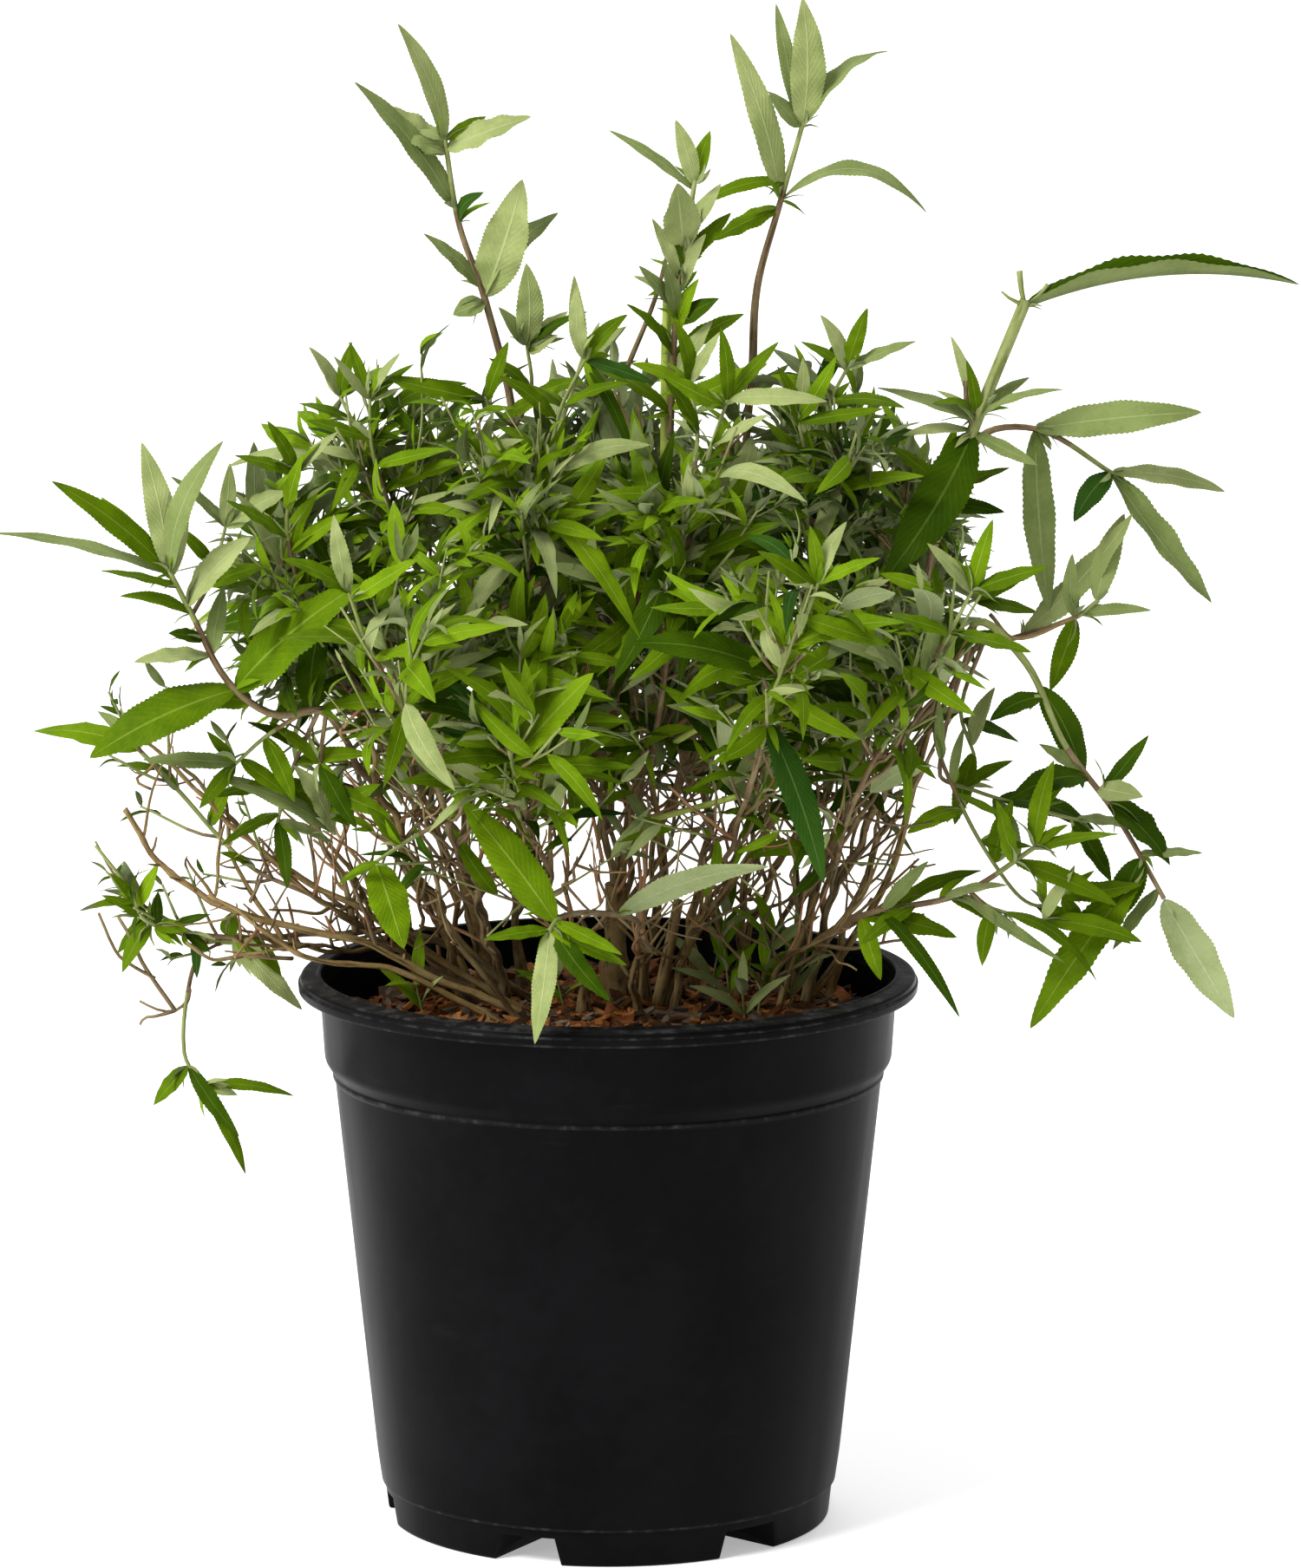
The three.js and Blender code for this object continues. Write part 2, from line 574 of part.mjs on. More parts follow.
// A twig that leaves its stem and turns up a little.
class Twig {
  constructor(root, direction, length, radius) {
    const end = root.clone().addScaledVector(direction, length);
    end.z += TWIG.lift * length;
    this.curve = new GrowthCurve([root, end], direction);
    this.radius = radius;
    this.length = length;
  }

  solid() {
    const girth = [this.radius, TWIG.tipRadius];
    return taperedTube(this.curve, TWIG.sides, TWIG.steps, (t) => between(girth, t));
  }
}

// What stands already, so that nothing new touches it.
class Standing {
  constructor() {
    this.pieces = [];
  }

  add(owner, solid) {
    this.pieces.push({ owner, solid, box: boxOf(solid) });
  }

  // True if a solid keeps its distance from every piece of another owner. A leaf's blade keeps it
  // from the pieces of its own mass too.
  clear(owner, solid, blade = null) {
    const box = boxOf(solid).expandByScalar(CLEAR);
    return this.pieces.every((other) => {
      const tested = other.owner === owner ? blade : solid;
      return !tested || !other.box.intersectsBox(box) || tested.minGap(other.solid, CLEAR) >= CLEAR;
    });
  }
}

function boxOf(solid) {
  const { min, max } = solid.boundingBox();
  return new THREE.Box3(vector(min), vector(max));
}

// The leafy part of a shoot. Its own space is what lies nearer to its stem than to any other.
class Mass {
  constructor(shoot, index, run, standing, masses) {
    Object.assign(this, { shoot, index, standing, masses, name: 'foliage_' + shoot.name, solids: [] });
    this.curve = leafyStretch(run);
    this.jointTangent = run.curve.getTangent(run.share);
    this.radius = shoot.girth[1];
    this.samples = this.curve.getPoints(10);
    this.seed = 1000 * (index + 1);
  }

  radiusAt(t) {
    return between([this.radius, STEM.tipRadius], t);
  }

  stemSolid() {
    const steps = stepsFor(this.curve, STEM.stepLength);
    return taperedTube(this.curve, STEM.sides, steps, (t) => this.radiusAt(t), this.jointTangent);
  }

  // How far a point is from this leafy stem.
  distanceTo(point) {
    return Math.min(...this.samples.map((sample) => sample.distanceTo(point)));
  }

  owns(point) {
    const own = this.distanceTo(point);
    return this.masses.every((other) => other === this || other.distanceTo(point) > own);
  }

  add(piece) {
    this.solids.push(piece);
    this.standing.add(this.name, piece);
  }

  // Adds a piece if it touches nothing that belongs to another node.
  grow(piece, blade) {
    const fits = this.standing.clear(this.name, piece, blade);
    if (fits) this.add(piece);
    return fits;
  }

  growLeaf(root, direction, length, width, towards) {
    const blade = leafSolid(root, direction, length, width, towards, true);
    return this.grow(leafSolid(root, direction, length, width, towards), blade);
  }

  // The leaves whose places are given.
  growGivenLeaves() {
    this.growLeavesOn(this.curve, this.shoot.leaves);
    const { side } = this.shoot;
    if (!side) return;
    const branch = new GrowthCurve([this.curve.getPoint(side.at), ...side.to.map(vector)]);
    const steps = stepsFor(branch, STEM.stepLength);
    const taper = (t) => between([SIDE_SHOOT.rootRadius, SIDE_SHOOT.tipRadius], t);
    if (this.grow(taperedTube(branch, STEM.sides, steps, taper))) this.growLeavesOn(branch, side.leaves);
  }

  growLeavesOn(curve, rows) {
    for (const [at, lean, toward, length, width] of rows) {
      this.growLeaf(curve.getPoint(at), heading(lean, toward), length, width, FRONT);
    }
  }

  // The twigs and leaves that the rule adds.
  growByRule() {
    const { nodes = 0, spread = 0 } = this.shoot;
    for (let k = 0; k < nodes; k++) {
      const t = between([RULE.firstNode, 1], (k + RULE.withinStep) / nodes);
      for (const side of [0, 1]) this.growTwig(t, k, side, spread);
    }
    if (nodes) this.growTuft();
  }

  // Each twig draws its own numbers, so a skipped twig changes no other.
  growTwig(t, k, side, spread) {
    const random = seeded(this.seed + 10 * k + side);
    const turn = 90 * k + 180 * side + RULE.ownTurn * this.index + RULE.jitter * (random() - 0.5);
    const length = spread * between(RULE.reach, t) * between(RULE.lengths, random());
    const direction = splayed(this.curve.getTangent(t), turn, between(RULE.splay, t));
    const radius = Math.max(TWIG.tipRadius, this.radiusAt(t) * TWIG.share);
    const twig = new Twig(this.curve.getPoint(t), direction, length, radius);
    if (!this.owns(twig.curve.getPoint(1)) || !this.grow(twig.solid())) return;
    if (!this.shoot.bare) this.growLeavesAlong(twig, random);
  }

  growLeavesAlong({ curve, length }, random) {
    PAIRS.at.forEach((start, j) => {
      for (const side of [0, 1]) {
        const at = start + (side * PAIRS.stagger) / length;
        const turn = 90 * j + 180 * side + PAIRS.turn + PAIRS.jitter * (random() - 0.5);
        const share = 1 - PAIRS.shrink * j;
        this.growRuledLeaf(curve, { at, turn, splay: PAIRS.splay, share }, random);
      }
    });
    this.growRuledLeaf(curve, END_LEAF, random);
  }

  growTuft() {
    const random = seeded(this.seed + TUFT.seed);
    const leaves = this.shoot.bare ? TUFT.bareLeaves : TUFT.leaves;
    for (let i = 0; i < leaves; i++) {
      const at = TUFT.at - (i * PAIRS.stagger) / this.curve.getLength();
      const turn = (360 / leaves) * i + TUFT.turn;
      this.growRuledLeaf(this.curve, { at, turn, splay: TUFT.splay, share: TUFT.share }, random);
    }
  }

  growRuledLeaf(curve, { at, turn, splay, share }, random) {
    const fullLength = RULED.length * share * between(RULED.range, random());
    const direction = splayed(curve.getTangent(at), turn, splay + RULED.wander * (random() - 0.5));
    direction.z -= RULED.sag;
    direction.normalize();
    const root = curve.getPoint(at);
    for (const length of [fullLength, fullLength * RULED.smaller]) {
      const tip = root.clone().addScaledVector(direction, length);
      const outward = new THREE.Vector3(tip.x, tip.y, 0).normalize();
      if (this.owns(tip) && this.growLeaf(root, direction, length, length * RULED.width, outward)) return;
    }
  }

  // Everything fused; a scrap that came loose is dropped.
  solid() {
    const bodies = wasm.Manifold.union(this.solids).decompose();
    return bodies.reduce((largest, body) => (body.volume() > largest.volume() ? body : largest));
  }
}

// ---------------------------------------------------------------- the whole plant

// A shoot's whole run, from its foot to its tip, and the share of it where the leaves begin.
function shootRun(shoot, forks) {
  const fork = forks.find((f) => f.name === shoot.foot);
  const start = fork ? fork.boughStart(shoot) : footPoint(shoot.foot);
  const joint = vector(shoot.joint);
  const startTangent = fork ? fork.tangent : risingTangent(start, joint);
  const curve = new GrowthCurve([start, joint, ...shoot.to.map(vector)], startTangent);
  return { curve, share: 1 / (curve.points.length - 1), fork };
}

// The leafy stem starts 0.3 mm past the limb's tip.
function leafyStretch({ curve, share }) {
  const next = new Stretch(curve, share, 2 * share).getLength();
  return new Stretch(curve, share + (share * GAP) / next, 1);
}

const group = new THREE.Group();

function addNode(name, geometry, material, parent = group) {
  const mesh = new THREE.Mesh(geometry, material);
  mesh.name = name;
  parent.add(mesh);
}

const standing = new Standing();
const limbs = new THREE.Group();
const foliage = new THREE.Group();
group.add(limbs, foliage);

const pot = potSolid();
const mix = mixSolid();
standing.add('pot', pot);
standing.add('potting_mix', mix);
addNode('pot', geometryOf(pot), potPlastic());
addNode('potting_mix', geometryOf(mix), barkMulch());

const forks = FORKED.map((row) => new ForkedStem(row));
for (const fork of forks) {
  const solid = standingLimb(fork.curve, fork.girth);
  standing.add(fork.name, solid);
  addNode(fork.name, geometryOf(solid), brownBark(), limbs);
}

const masses = [];
SHOOTS.forEach((shoot, index) => {
  const run = shootRun(shoot, forks);
  const limb = new Stretch(run.curve, 0, run.share);
  const solid = run.fork ? boughLimb(limb, shoot.girth, run.fork.tangent) : standingLimb(limb, shoot.girth);
  const name = (run.fork ? 'bough_' : 'stem_') + shoot.name;
  standing.add(name, solid);
  addNode(name, geometryOf(solid), brownBark(), limbs);
  masses.push(new Mass(shoot, index, run, standing, masses));
});

// Every leafy stem stands before any leaf, then the given leaves, then what the rule adds.
for (const mass of masses) mass.add(mass.stemSolid());
for (const mass of masses) mass.growGivenLeaves();
for (const mass of masses) {
  mass.growByRule();
  addNode(mass.name, geometryOf(mass.solid()), greenLeaf(), foliage);
}

export default group;
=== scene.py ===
"""The looks of a potted butterfly bush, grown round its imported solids.

The plant is grown by the same rule as its solids, from the same shoots, and is carried on to finer
twigs and to leaves of their real size. Plant sizes are in millimetres until a mesh is made from them;
Blender's own values are in metres.
"""

import logging
import math
from collections.abc import Callable, Sequence
from dataclasses import dataclass, field, fields
from enum import Enum
from functools import partialmethod

import bmesh
import bpy
import numpy as np
from bmesh.types import BMesh
from bpy.types import Material, Mesh, Node, NodeSocket, NodeTree, Object
from mathutils import Matrix, Vector, noise


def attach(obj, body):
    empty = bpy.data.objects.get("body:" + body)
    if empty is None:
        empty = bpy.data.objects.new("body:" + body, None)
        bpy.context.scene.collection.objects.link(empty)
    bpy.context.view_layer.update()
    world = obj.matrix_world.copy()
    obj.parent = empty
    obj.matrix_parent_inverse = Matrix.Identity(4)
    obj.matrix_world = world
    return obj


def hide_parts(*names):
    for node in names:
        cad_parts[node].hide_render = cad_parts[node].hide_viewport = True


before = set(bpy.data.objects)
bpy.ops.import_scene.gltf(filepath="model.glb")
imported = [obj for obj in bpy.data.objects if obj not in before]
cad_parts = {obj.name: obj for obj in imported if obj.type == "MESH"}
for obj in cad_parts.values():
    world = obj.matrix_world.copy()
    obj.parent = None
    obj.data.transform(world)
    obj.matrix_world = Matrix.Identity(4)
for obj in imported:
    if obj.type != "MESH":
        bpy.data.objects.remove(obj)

LOG = logging.getLogger("butterfly_bush")
MM = 0.001
BODY = "root"
UP = np.array((0.0, 0.0, 1.0))
FRONT = np.array((0.0, -1.0, 0.0))
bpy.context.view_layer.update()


# ---- small sums

def unit(vector: np.ndarray) -> np.ndarray:
    """The same direction with a length of one."""
    return vector / np.linalg.norm(vector)


def between(pair: Sequence[float], share: float) -> float:
    """The value at a share of the way from the first of a pair to the second."""
    return pair[0] + (pair[1] - pair[0]) * share


def turned(vector: np.ndarray, axis: np.ndarray, degrees: float) -> np.ndarray:
    """A vector turned about a unit axis."""
    angle = math.radians(degrees)
    level = np.cross(axis, vector)
    along = axis * float(axis @ vector)
    return vector * math.cos(angle) + level * math.sin(angle) + along * (1 - math.cos(angle))


def square_to(vector: np.ndarray, along: np.ndarray) -> np.ndarray:
    """The unit part of a vector that is square to a unit direction."""
    return unit(vector - along * float(vector @ along))


def heading(lean: float, toward: float) -> np.ndarray:
    """A direction from its lean off upright towards +X and its angle towards the front, in degrees."""
    a, b = math.radians(lean), math.radians(toward)
    return np.array((math.sin(a) * math.cos(b), -math.sin(b), math.cos(a) * math.cos(b)))


def splayed(tangent: np.ndarray, turn: float, splay: float) -> np.ndarray:
    """A direction at some angle off a tangent, turned about it from the level side, in degrees."""
    other = FRONT if abs(tangent[2]) > 0.95 else UP
    out = turned(unit(np.cross(tangent, other)), tangent, turn)
    return tangent * math.cos(math.radians(splay)) + out * math.sin(math.radians(splay))


class Seeded:
    """Evenly spread numbers from 0 to 1, the same for the same seed."""

    MASK = 0xFFFFFFFF

    def __init__(self, seed: int) -> None:
        """Starts the run of numbers."""
        self.state = seed & self.MASK

    def __call__(self) -> float:
        """The next number."""
        self.state = (self.state + 0x6D2B79F5) & self.MASK
        t = self.state
        t = ((t ^ (t >> 15)) * (1 | t)) & self.MASK
        t = ((t + (((t ^ (t >> 7)) * (61 | t)) & self.MASK)) & self.MASK) ^ t
        return ((t ^ (t >> 14)) & self.MASK) / 4294967296

    def within(self, low: float, high: float) -> float:
        """The next number, between two values."""
        return low + (high - low) * self()

    def about(self, reach: float) -> float:
        """The next number, up to some reach on both sides of zero."""
        return reach * (2 * self() - 1)


# ---- curves

class Run:
    """Anything that a stem can follow, from 0 at its foot to 1 at its tip."""

    def points(self, shares: Sequence[float] | float) -> np.ndarray:
        """The places at some shares of the run."""
        raise NotImplementedError

    def directions(self, shares: Sequence[float] | float) -> np.ndarray:
        """The unit tangents at some shares of the run."""
        step = 1e-3
        t = np.asarray(shares, float)
        way = self.points(np.minimum(t + step, 1)) - self.points(np.maximum(t - step, 0))
        return way / np.linalg.norm(way, axis=-1, keepdims=True)

    def length(self) -> float:
        """The length of the run in millimetres."""
        along = self.points(np.linspace(0, 1, 201))
        return float(np.linalg.norm(np.diff(along, axis=0), axis=1).sum())


class GrowthCurve(Run):
    """A smooth curve through given points, with a tangent at each as long as the stretch it bends."""

    def __init__(self, points: Sequence, start: np.ndarray | None = None) -> None:
        """Lays the curve.

        Args:
            points: the places that it runs through.
            start: the direction that it leaves the first place in.
        """
        self.at = np.array([tuple(p) for p in points], float)
        way = np.vstack((self.at[1:], self.at[-1:])) - np.vstack((self.at[:1], self.at[:-1]))
        self.tangents = way / np.linalg.norm(way, axis=1, keepdims=True)
        if start is not None:
            self.tangents[0] = start

    def points(self, shares: Sequence[float] | float) -> np.ndarray:
        """The places at some shares of the run."""
        t = np.asarray(shares, float)
        spans = len(self.at) - 1
        i = np.minimum((t * spans).astype(int), spans - 1)
        s = (t * spans - i)[..., None]
        a, b = self.at[i], self.at[i + 1]
        reach = np.linalg.norm(b - a, axis=-1, keepdims=True)
        return (
            a * (2 * s**3 - 3 * s**2 + 1)
            + self.tangents[i] * reach * (s**3 - 2 * s**2 + s)
            + b * (3 * s**2 - 2 * s**3)
            + self.tangents[i + 1] * reach * (s**3 - s**2)
        )


@dataclass(frozen=True)
class Stretch(Run):
    """One stretch of a run."""

    whole: Run
    start: float
    end: float

    def points(self, shares: Sequence[float] | float) -> np.ndarray:
        """The places at some shares of the stretch."""
        return self.whole.points(self.start + (self.end - self.start) * np.asarray(shares, float))


class KinkedRun(Run):
    """A run with the bends of real wood: slow waves, and a small knee at each node. Its ends stay put."""

    def __init__(self, whole: Run, sway: float, knee: float, random: "Seeded") -> None:
        """Draws the bends.

        Args:
            whole: the even run.
            sway: how far the waves reach.
            knee: how far the knees reach.
            random: numbers.
        """
        self.whole, self.sway, self.knee = whole, sway, knee
        self.span = whole.length()
        self.chord = unit(whole.points(1.0) - whole.points(0.0))
        self.waves = [(random.within(9, 19), random.within(0, 6.28)) for _ in range(3)]
        self.knees = [(random.within(11, 24), random.within(0, 2)) for _ in range(3)]

    def points(self, shares: Sequence[float] | float) -> np.ndarray:
        """The places at some shares of the run."""
        t = np.asarray(shares, float)
        s = t * self.span
        wave = np.stack([np.sin(s / wide + phase) for wide, phase in self.waves], -1)
        knee = np.stack([np.abs((s / gap + phase) % 2 - 1) - 0.5 for gap, phase in self.knees], -1)
        aside = self.sway * wave + self.knee * knee
        aside = aside - np.asarray(aside @ self.chord)[..., None] * self.chord
        return self.whole.points(t) + aside * (np.abs(np.sin(math.pi * t)) ** 0.5)[..., None]


# ---- finishes

class Sketch:
    """A hand for laying out the nodes of one tree."""

    def __init__(self, tree: NodeTree) -> None:
        """Starts on a tree."""
        self.tree = tree

    def node(self, kind: str, **settings: object) -> Node:
        """Adds a node and sets its properties.

        Args:
            kind: the node's type name.
            settings: properties of the node.

        Returns:
            The node.
        """
        made = self.tree.nodes.new(kind)
        for name, value in settings.items():
            setattr(made, name, value)
        return made

    def feed(self, socket: NodeSocket, value: object) -> None:
        """Gives an input either another node's output or a plain value."""
        if isinstance(value, NodeSocket):
            self.tree.links.new(value, socket)
        else:
            socket.default_value = value

    def maths(self, operation: str, *values: object) -> NodeSocket:
        """A sum of one to three values."""
        made = self.node("ShaderNodeMath", operation=operation)
        for socket, value in zip(made.inputs, values):
            self.feed(socket, value)
        return made.outputs[0]

    plus = partialmethod(maths, "ADD")
    minus = partialmethod(maths, "SUBTRACT")
    times = partialmethod(maths, "MULTIPLY")
    larger = partialmethod(maths, "MAXIMUM")

    def ranged(self, value: object, low: float, high: float, to_low: float, to_high: float) -> NodeSocket:
        """A value mapped smoothly from one range to another and held at its ends."""
        made = self.node("ShaderNodeMapRange", interpolation_type="SMOOTHSTEP")
        for socket, given in zip(made.inputs, (value, low, high, to_low, to_high)):
            self.feed(socket, given)
        return made.outputs[0]

    def mixed(self, share: object, first: object, second: object) -> NodeSocket:
        """A colour between two colours."""
        made = self.node("ShaderNodeMix", data_type="RGBA")
        for index, given in ((0, share), (6, first), (7, second)):
            self.feed(made.inputs[index], given)
        return made.outputs[2]

    def speckle(self, place: object, scale: object, detail: float = 3.0, rough: float = 0.5) -> NodeSocket:
        """A noise from 0 to 1."""
        made = self.node("ShaderNodeTexNoise")
        self.feed(made.inputs["Vector"], place)
        self.feed(made.inputs["Scale"], scale)
        made.inputs["Detail"].default_value = detail
        made.inputs["Roughness"].default_value = rough
        return made.outputs["Fac"]

    def stretched(self, place: object, scale: Sequence[float]) -> NodeSocket:
        """Coordinates scaled along each axis."""
        made = self.node("ShaderNodeMapping", vector_type="POINT")
        self.feed(made.inputs["Vector"], place)
        made.inputs["Scale"].default_value = scale
        return made.outputs[0]

    def place(self) -> NodeSocket:
        """The object's own coordinates, in metres."""
        return self.node("ShaderNodeTexCoord").outputs["Object"]

    def group(self, tree: NodeTree, **values: object) -> Node:
        """Places a node group with its own values."""
        made = self.node("ShaderNodeGroup", node_tree=tree)
        for name, value in values.items():
            self.feed(made.inputs[name.replace("_", " ")], value)
        return made


def new_group(name: str, inputs: dict[str, str], outputs: dict[str, str]) -> tuple[Sketch, Node, Node]:
    """Starts a shader node group.

    Args:
        name: the group's name.
        inputs: each input's name and socket type.
        outputs: each output's name and socket type.

    Returns:
        A sketch of its tree, its input node and its output node.
    """
    tree = bpy.data.node_groups.new(name, "ShaderNodeTree")
    for names, way in ((inputs, "INPUT"), (outputs, "OUTPUT")):
        for label, kind in names.items():
            tree.interface.new_socket(name=label, in_out=way, socket_type=kind)
    sketch = Sketch(tree)
    return sketch, sketch.node("NodeGroupInput"), sketch.node("NodeGroupOutput")


FLOAT, COLOUR, VECTOR = "NodeSocketFloat", "NodeSocketColor", "NodeSocketVector"


def vein_group() -> NodeTree:
    """A leaf's midrib and its slanting side veins, read from a map that runs across and along it."""
    sketch, given, made = new_group(
        "leaf_veins",
        {"Map": VECTOR, "Pairs": FLOAT, "Slant": FLOAT},
        {"Vein": FLOAT, "Midrib": FLOAT, "Puff": FLOAT},
    )
    parts = sketch.node("ShaderNodeSeparateXYZ")
    sketch.feed(parts.inputs[0], given.outputs["Map"])
    aside = sketch.maths("ABSOLUTE", sketch.minus(parts.outputs[0], 0.5))
    midrib = sketch.ranged(aside, 0.012, 0.04, 1.0, 0.0)
    forward = sketch.times(parts.outputs[1], given.outputs["Pairs"])
    swept = sketch.times(sketch.maths("POWER", aside, 0.8), given.outputs["Slant"])
    phase = sketch.maths("FRACT", sketch.plus(sketch.minus(forward, swept), 20.0))
    ridge = sketch.times(sketch.maths("ABSOLUTE", sketch.minus(phase, 0.5)), 2.0)
    side = sketch.ranged(ridge, 0.86, 1.0, 0.0, 0.42)
    sketch.feed(made.inputs["Vein"], sketch.larger(midrib, side))
    sketch.feed(made.inputs["Midrib"], midrib)
    puff = sketch.times(sketch.maths("POWER", ridge, 3.0), -0.5)
    sketch.feed(made.inputs["Puff"], sketch.plus(1.0, puff))
    return sketch.tree


def mottle_group() -> NodeTree:
    """Uneven tone over a surface: large patches with finer ones in them."""
    sketch, given, made = new_group(
        "uneven_tone", {"Place": VECTOR, "Scale": FLOAT}, {"Tone": FLOAT, "Grain": FLOAT}
    )
    large = sketch.speckle(given.outputs["Place"], given.outputs["Scale"], 2.0)
    finer = sketch.times(given.outputs["Scale"], 9.0)
    fine = sketch.speckle(given.outputs["Place"], finer, 3.0, 0.65)
    both = sketch.plus(sketch.times(large, 0.7), sketch.times(fine, 0.3))
    sketch.feed(made.inputs["Tone"], sketch.ranged(both, 0.36, 0.64, 0.0, 1.0))
    sketch.feed(made.inputs["Grain"], fine)
    return sketch.tree


def bark_group() -> NodeTree:
    """Lengthwise cracks and ridges of thin bark, read from a map that runs round and along a stem."""
    sketch, given, made = new_group("bark_cracks", {"Map": VECTOR}, {"Crack": FLOAT, "Ridge": FLOAT})
    fibres = sketch.speckle(sketch.stretched(given.outputs["Map"], (7.0, 0.05, 1.0)), 1.0, 4.0, 0.6)
    flakes = sketch.speckle(sketch.stretched(given.outputs["Map"], (3.0, 0.12, 1.0)), 1.0, 3.0, 0.6)
    sketch.feed(made.inputs["Crack"], sketch.ranged(fibres, 0.36, 0.5, 1.0, 0.0))
    sketch.feed(made.inputs["Ridge"], sketch.plus(fibres, sketch.times(flakes, 0.6)))
    return sketch.tree


class Groups:
    """The node groups that several finishes use, each built once."""

    def __init__(self) -> None:
        """Builds them."""
        self.veins = vein_group()
        self.mottle = mottle_group()
        self.bark = bark_group()


Colour = tuple[float, float, float]


def opaque(colour: Colour) -> tuple[float, float, float, float]:
    """A colour with full cover."""
    return (*colour, 1.0)


def new_material(name: str, roughness: float, gloss: float) -> tuple[Material, Sketch, Node]:
    """Starts a material with one Principled surface.

    Args:
        name: the material's name.
        roughness: of the surface, where no node feeds it.
        gloss: the specular level.

    Returns:
        The material, a sketch of its tree and its Principled node.
    """
    material = bpy.data.materials.new(name)
    material.use_nodes = True
    sketch = Sketch(material.node_tree)
    surface = material.node_tree.nodes["Principled BSDF"]
    surface.inputs["Roughness"].default_value = roughness
    surface.inputs["Specular IOR Level"].default_value = gloss
    return material, sketch, surface


def add_bump(sketch: Sketch, surface: Node, height: object, strength: float, depth_mm: float) -> None:
    """Feeds a height to the surface's normal."""
    bump = sketch.node("ShaderNodeBump")
    bump.inputs["Strength"].default_value = strength
    bump.inputs["Distance"].default_value = depth_mm * MM
    sketch.feed(bump.inputs["Height"], height)
    sketch.feed(surface.inputs["Normal"], bump.outputs[0])


@dataclass(frozen=True)
class LeafFinish:
    """One side of a leaf."""

    name: str
    colour: Colour
    shade: Colour
    vein: Colour
    roughness: float = 0.46
    gloss: float = 0.022
    felt: float = 0.0
    relief: float = 0.5

    def material(self, groups: Groups) -> Material:
        """Builds the material."""
        material, sketch, surface = new_material(self.name, self.roughness, self.gloss)
        across = sketch.node("ShaderNodeUVMap", uv_map="leaf").outputs[0]
        veins = sketch.group(groups.veins, Map=across, Pairs=16.0, Slant=7.0)
        tone = sketch.group(groups.mottle, Place=sketch.place(), Scale=45.0)
        blade = sketch.mixed(tone.outputs["Tone"], opaque(self.colour), opaque(self.shade))
        share = sketch.times(veins.outputs["Vein"], 0.65)
        sketch.feed(surface.inputs["Base Color"], sketch.mixed(share, blade, opaque(self.vein)))
        rough = sketch.ranged(tone.outputs["Grain"], 0.3, 0.7, self.roughness - 0.08, self.roughness + 0.08)
        sketch.feed(surface.inputs["Roughness"], rough)
        surface.inputs["Sheen Weight"].default_value = self.felt
        surface.inputs["Sheen Roughness"].default_value = 0.6
        sunk = sketch.minus(veins.outputs["Puff"], veins.outputs["Midrib"])
        height = sketch.plus(sunk, sketch.times(tone.outputs["Grain"], 0.5))
        add_bump(sketch, surface, height, self.relief, 0.4)
        return material


@dataclass(frozen=True)
class BarkFinish:
    """The bark of a stem, by its age."""

    name: str
    colour: Colour
    crack: Colour
    patch: Colour
    roughness: float = 0.85
    relief: float = 0.8

    def material(self, groups: Groups) -> Material:
        """Builds the material."""
        material, sketch, surface = new_material(self.name, self.roughness, 0.25)
        round_and_along = sketch.node("ShaderNodeUVMap", uv_map="stem").outputs[0]
        bark = sketch.group(groups.bark, Map=round_and_along)
        tone = sketch.group(groups.mottle, Place=sketch.place(), Scale=60.0)
        skin = sketch.mixed(tone.outputs["Tone"], opaque(self.colour), opaque(self.patch))
        cracked = sketch.mixed(bark.outputs["Crack"], skin, opaque(self.crack))
        sketch.feed(surface.inputs["Base Color"], cracked)
        add_bump(sketch, surface, bark.outputs["Ridge"], self.relief, 0.6)
        return material


@dataclass(frozen=True)
class ChipFinish:
    """Dry bark chips, or the fines between them."""

    name: str
    colour: Colour
    dark: Colour
    scale: float = 150.0

    def material(self, groups: Groups) -> Material:
        """Builds the material."""
        material, sketch, surface = new_material(self.name, 0.92, 0.2)
        place = sketch.place()
        tone = sketch.group(groups.mottle, Place=place, Scale=self.scale)
        fibres = sketch.speckle(sketch.stretched(place, (1.0, 3.2, 2.0)), 420.0, 4.0, 0.7)
        share = sketch.times(tone.outputs["Tone"], sketch.ranged(fibres, 0.35, 0.65, 0.5, 1.0))
        colour = sketch.mixed(share, opaque(self.dark), opaque(self.colour))
        sketch.feed(surface.inputs["Base Color"], colour)
        add_bump(sketch, surface, fibres, 0.9, 0.7)
        return material


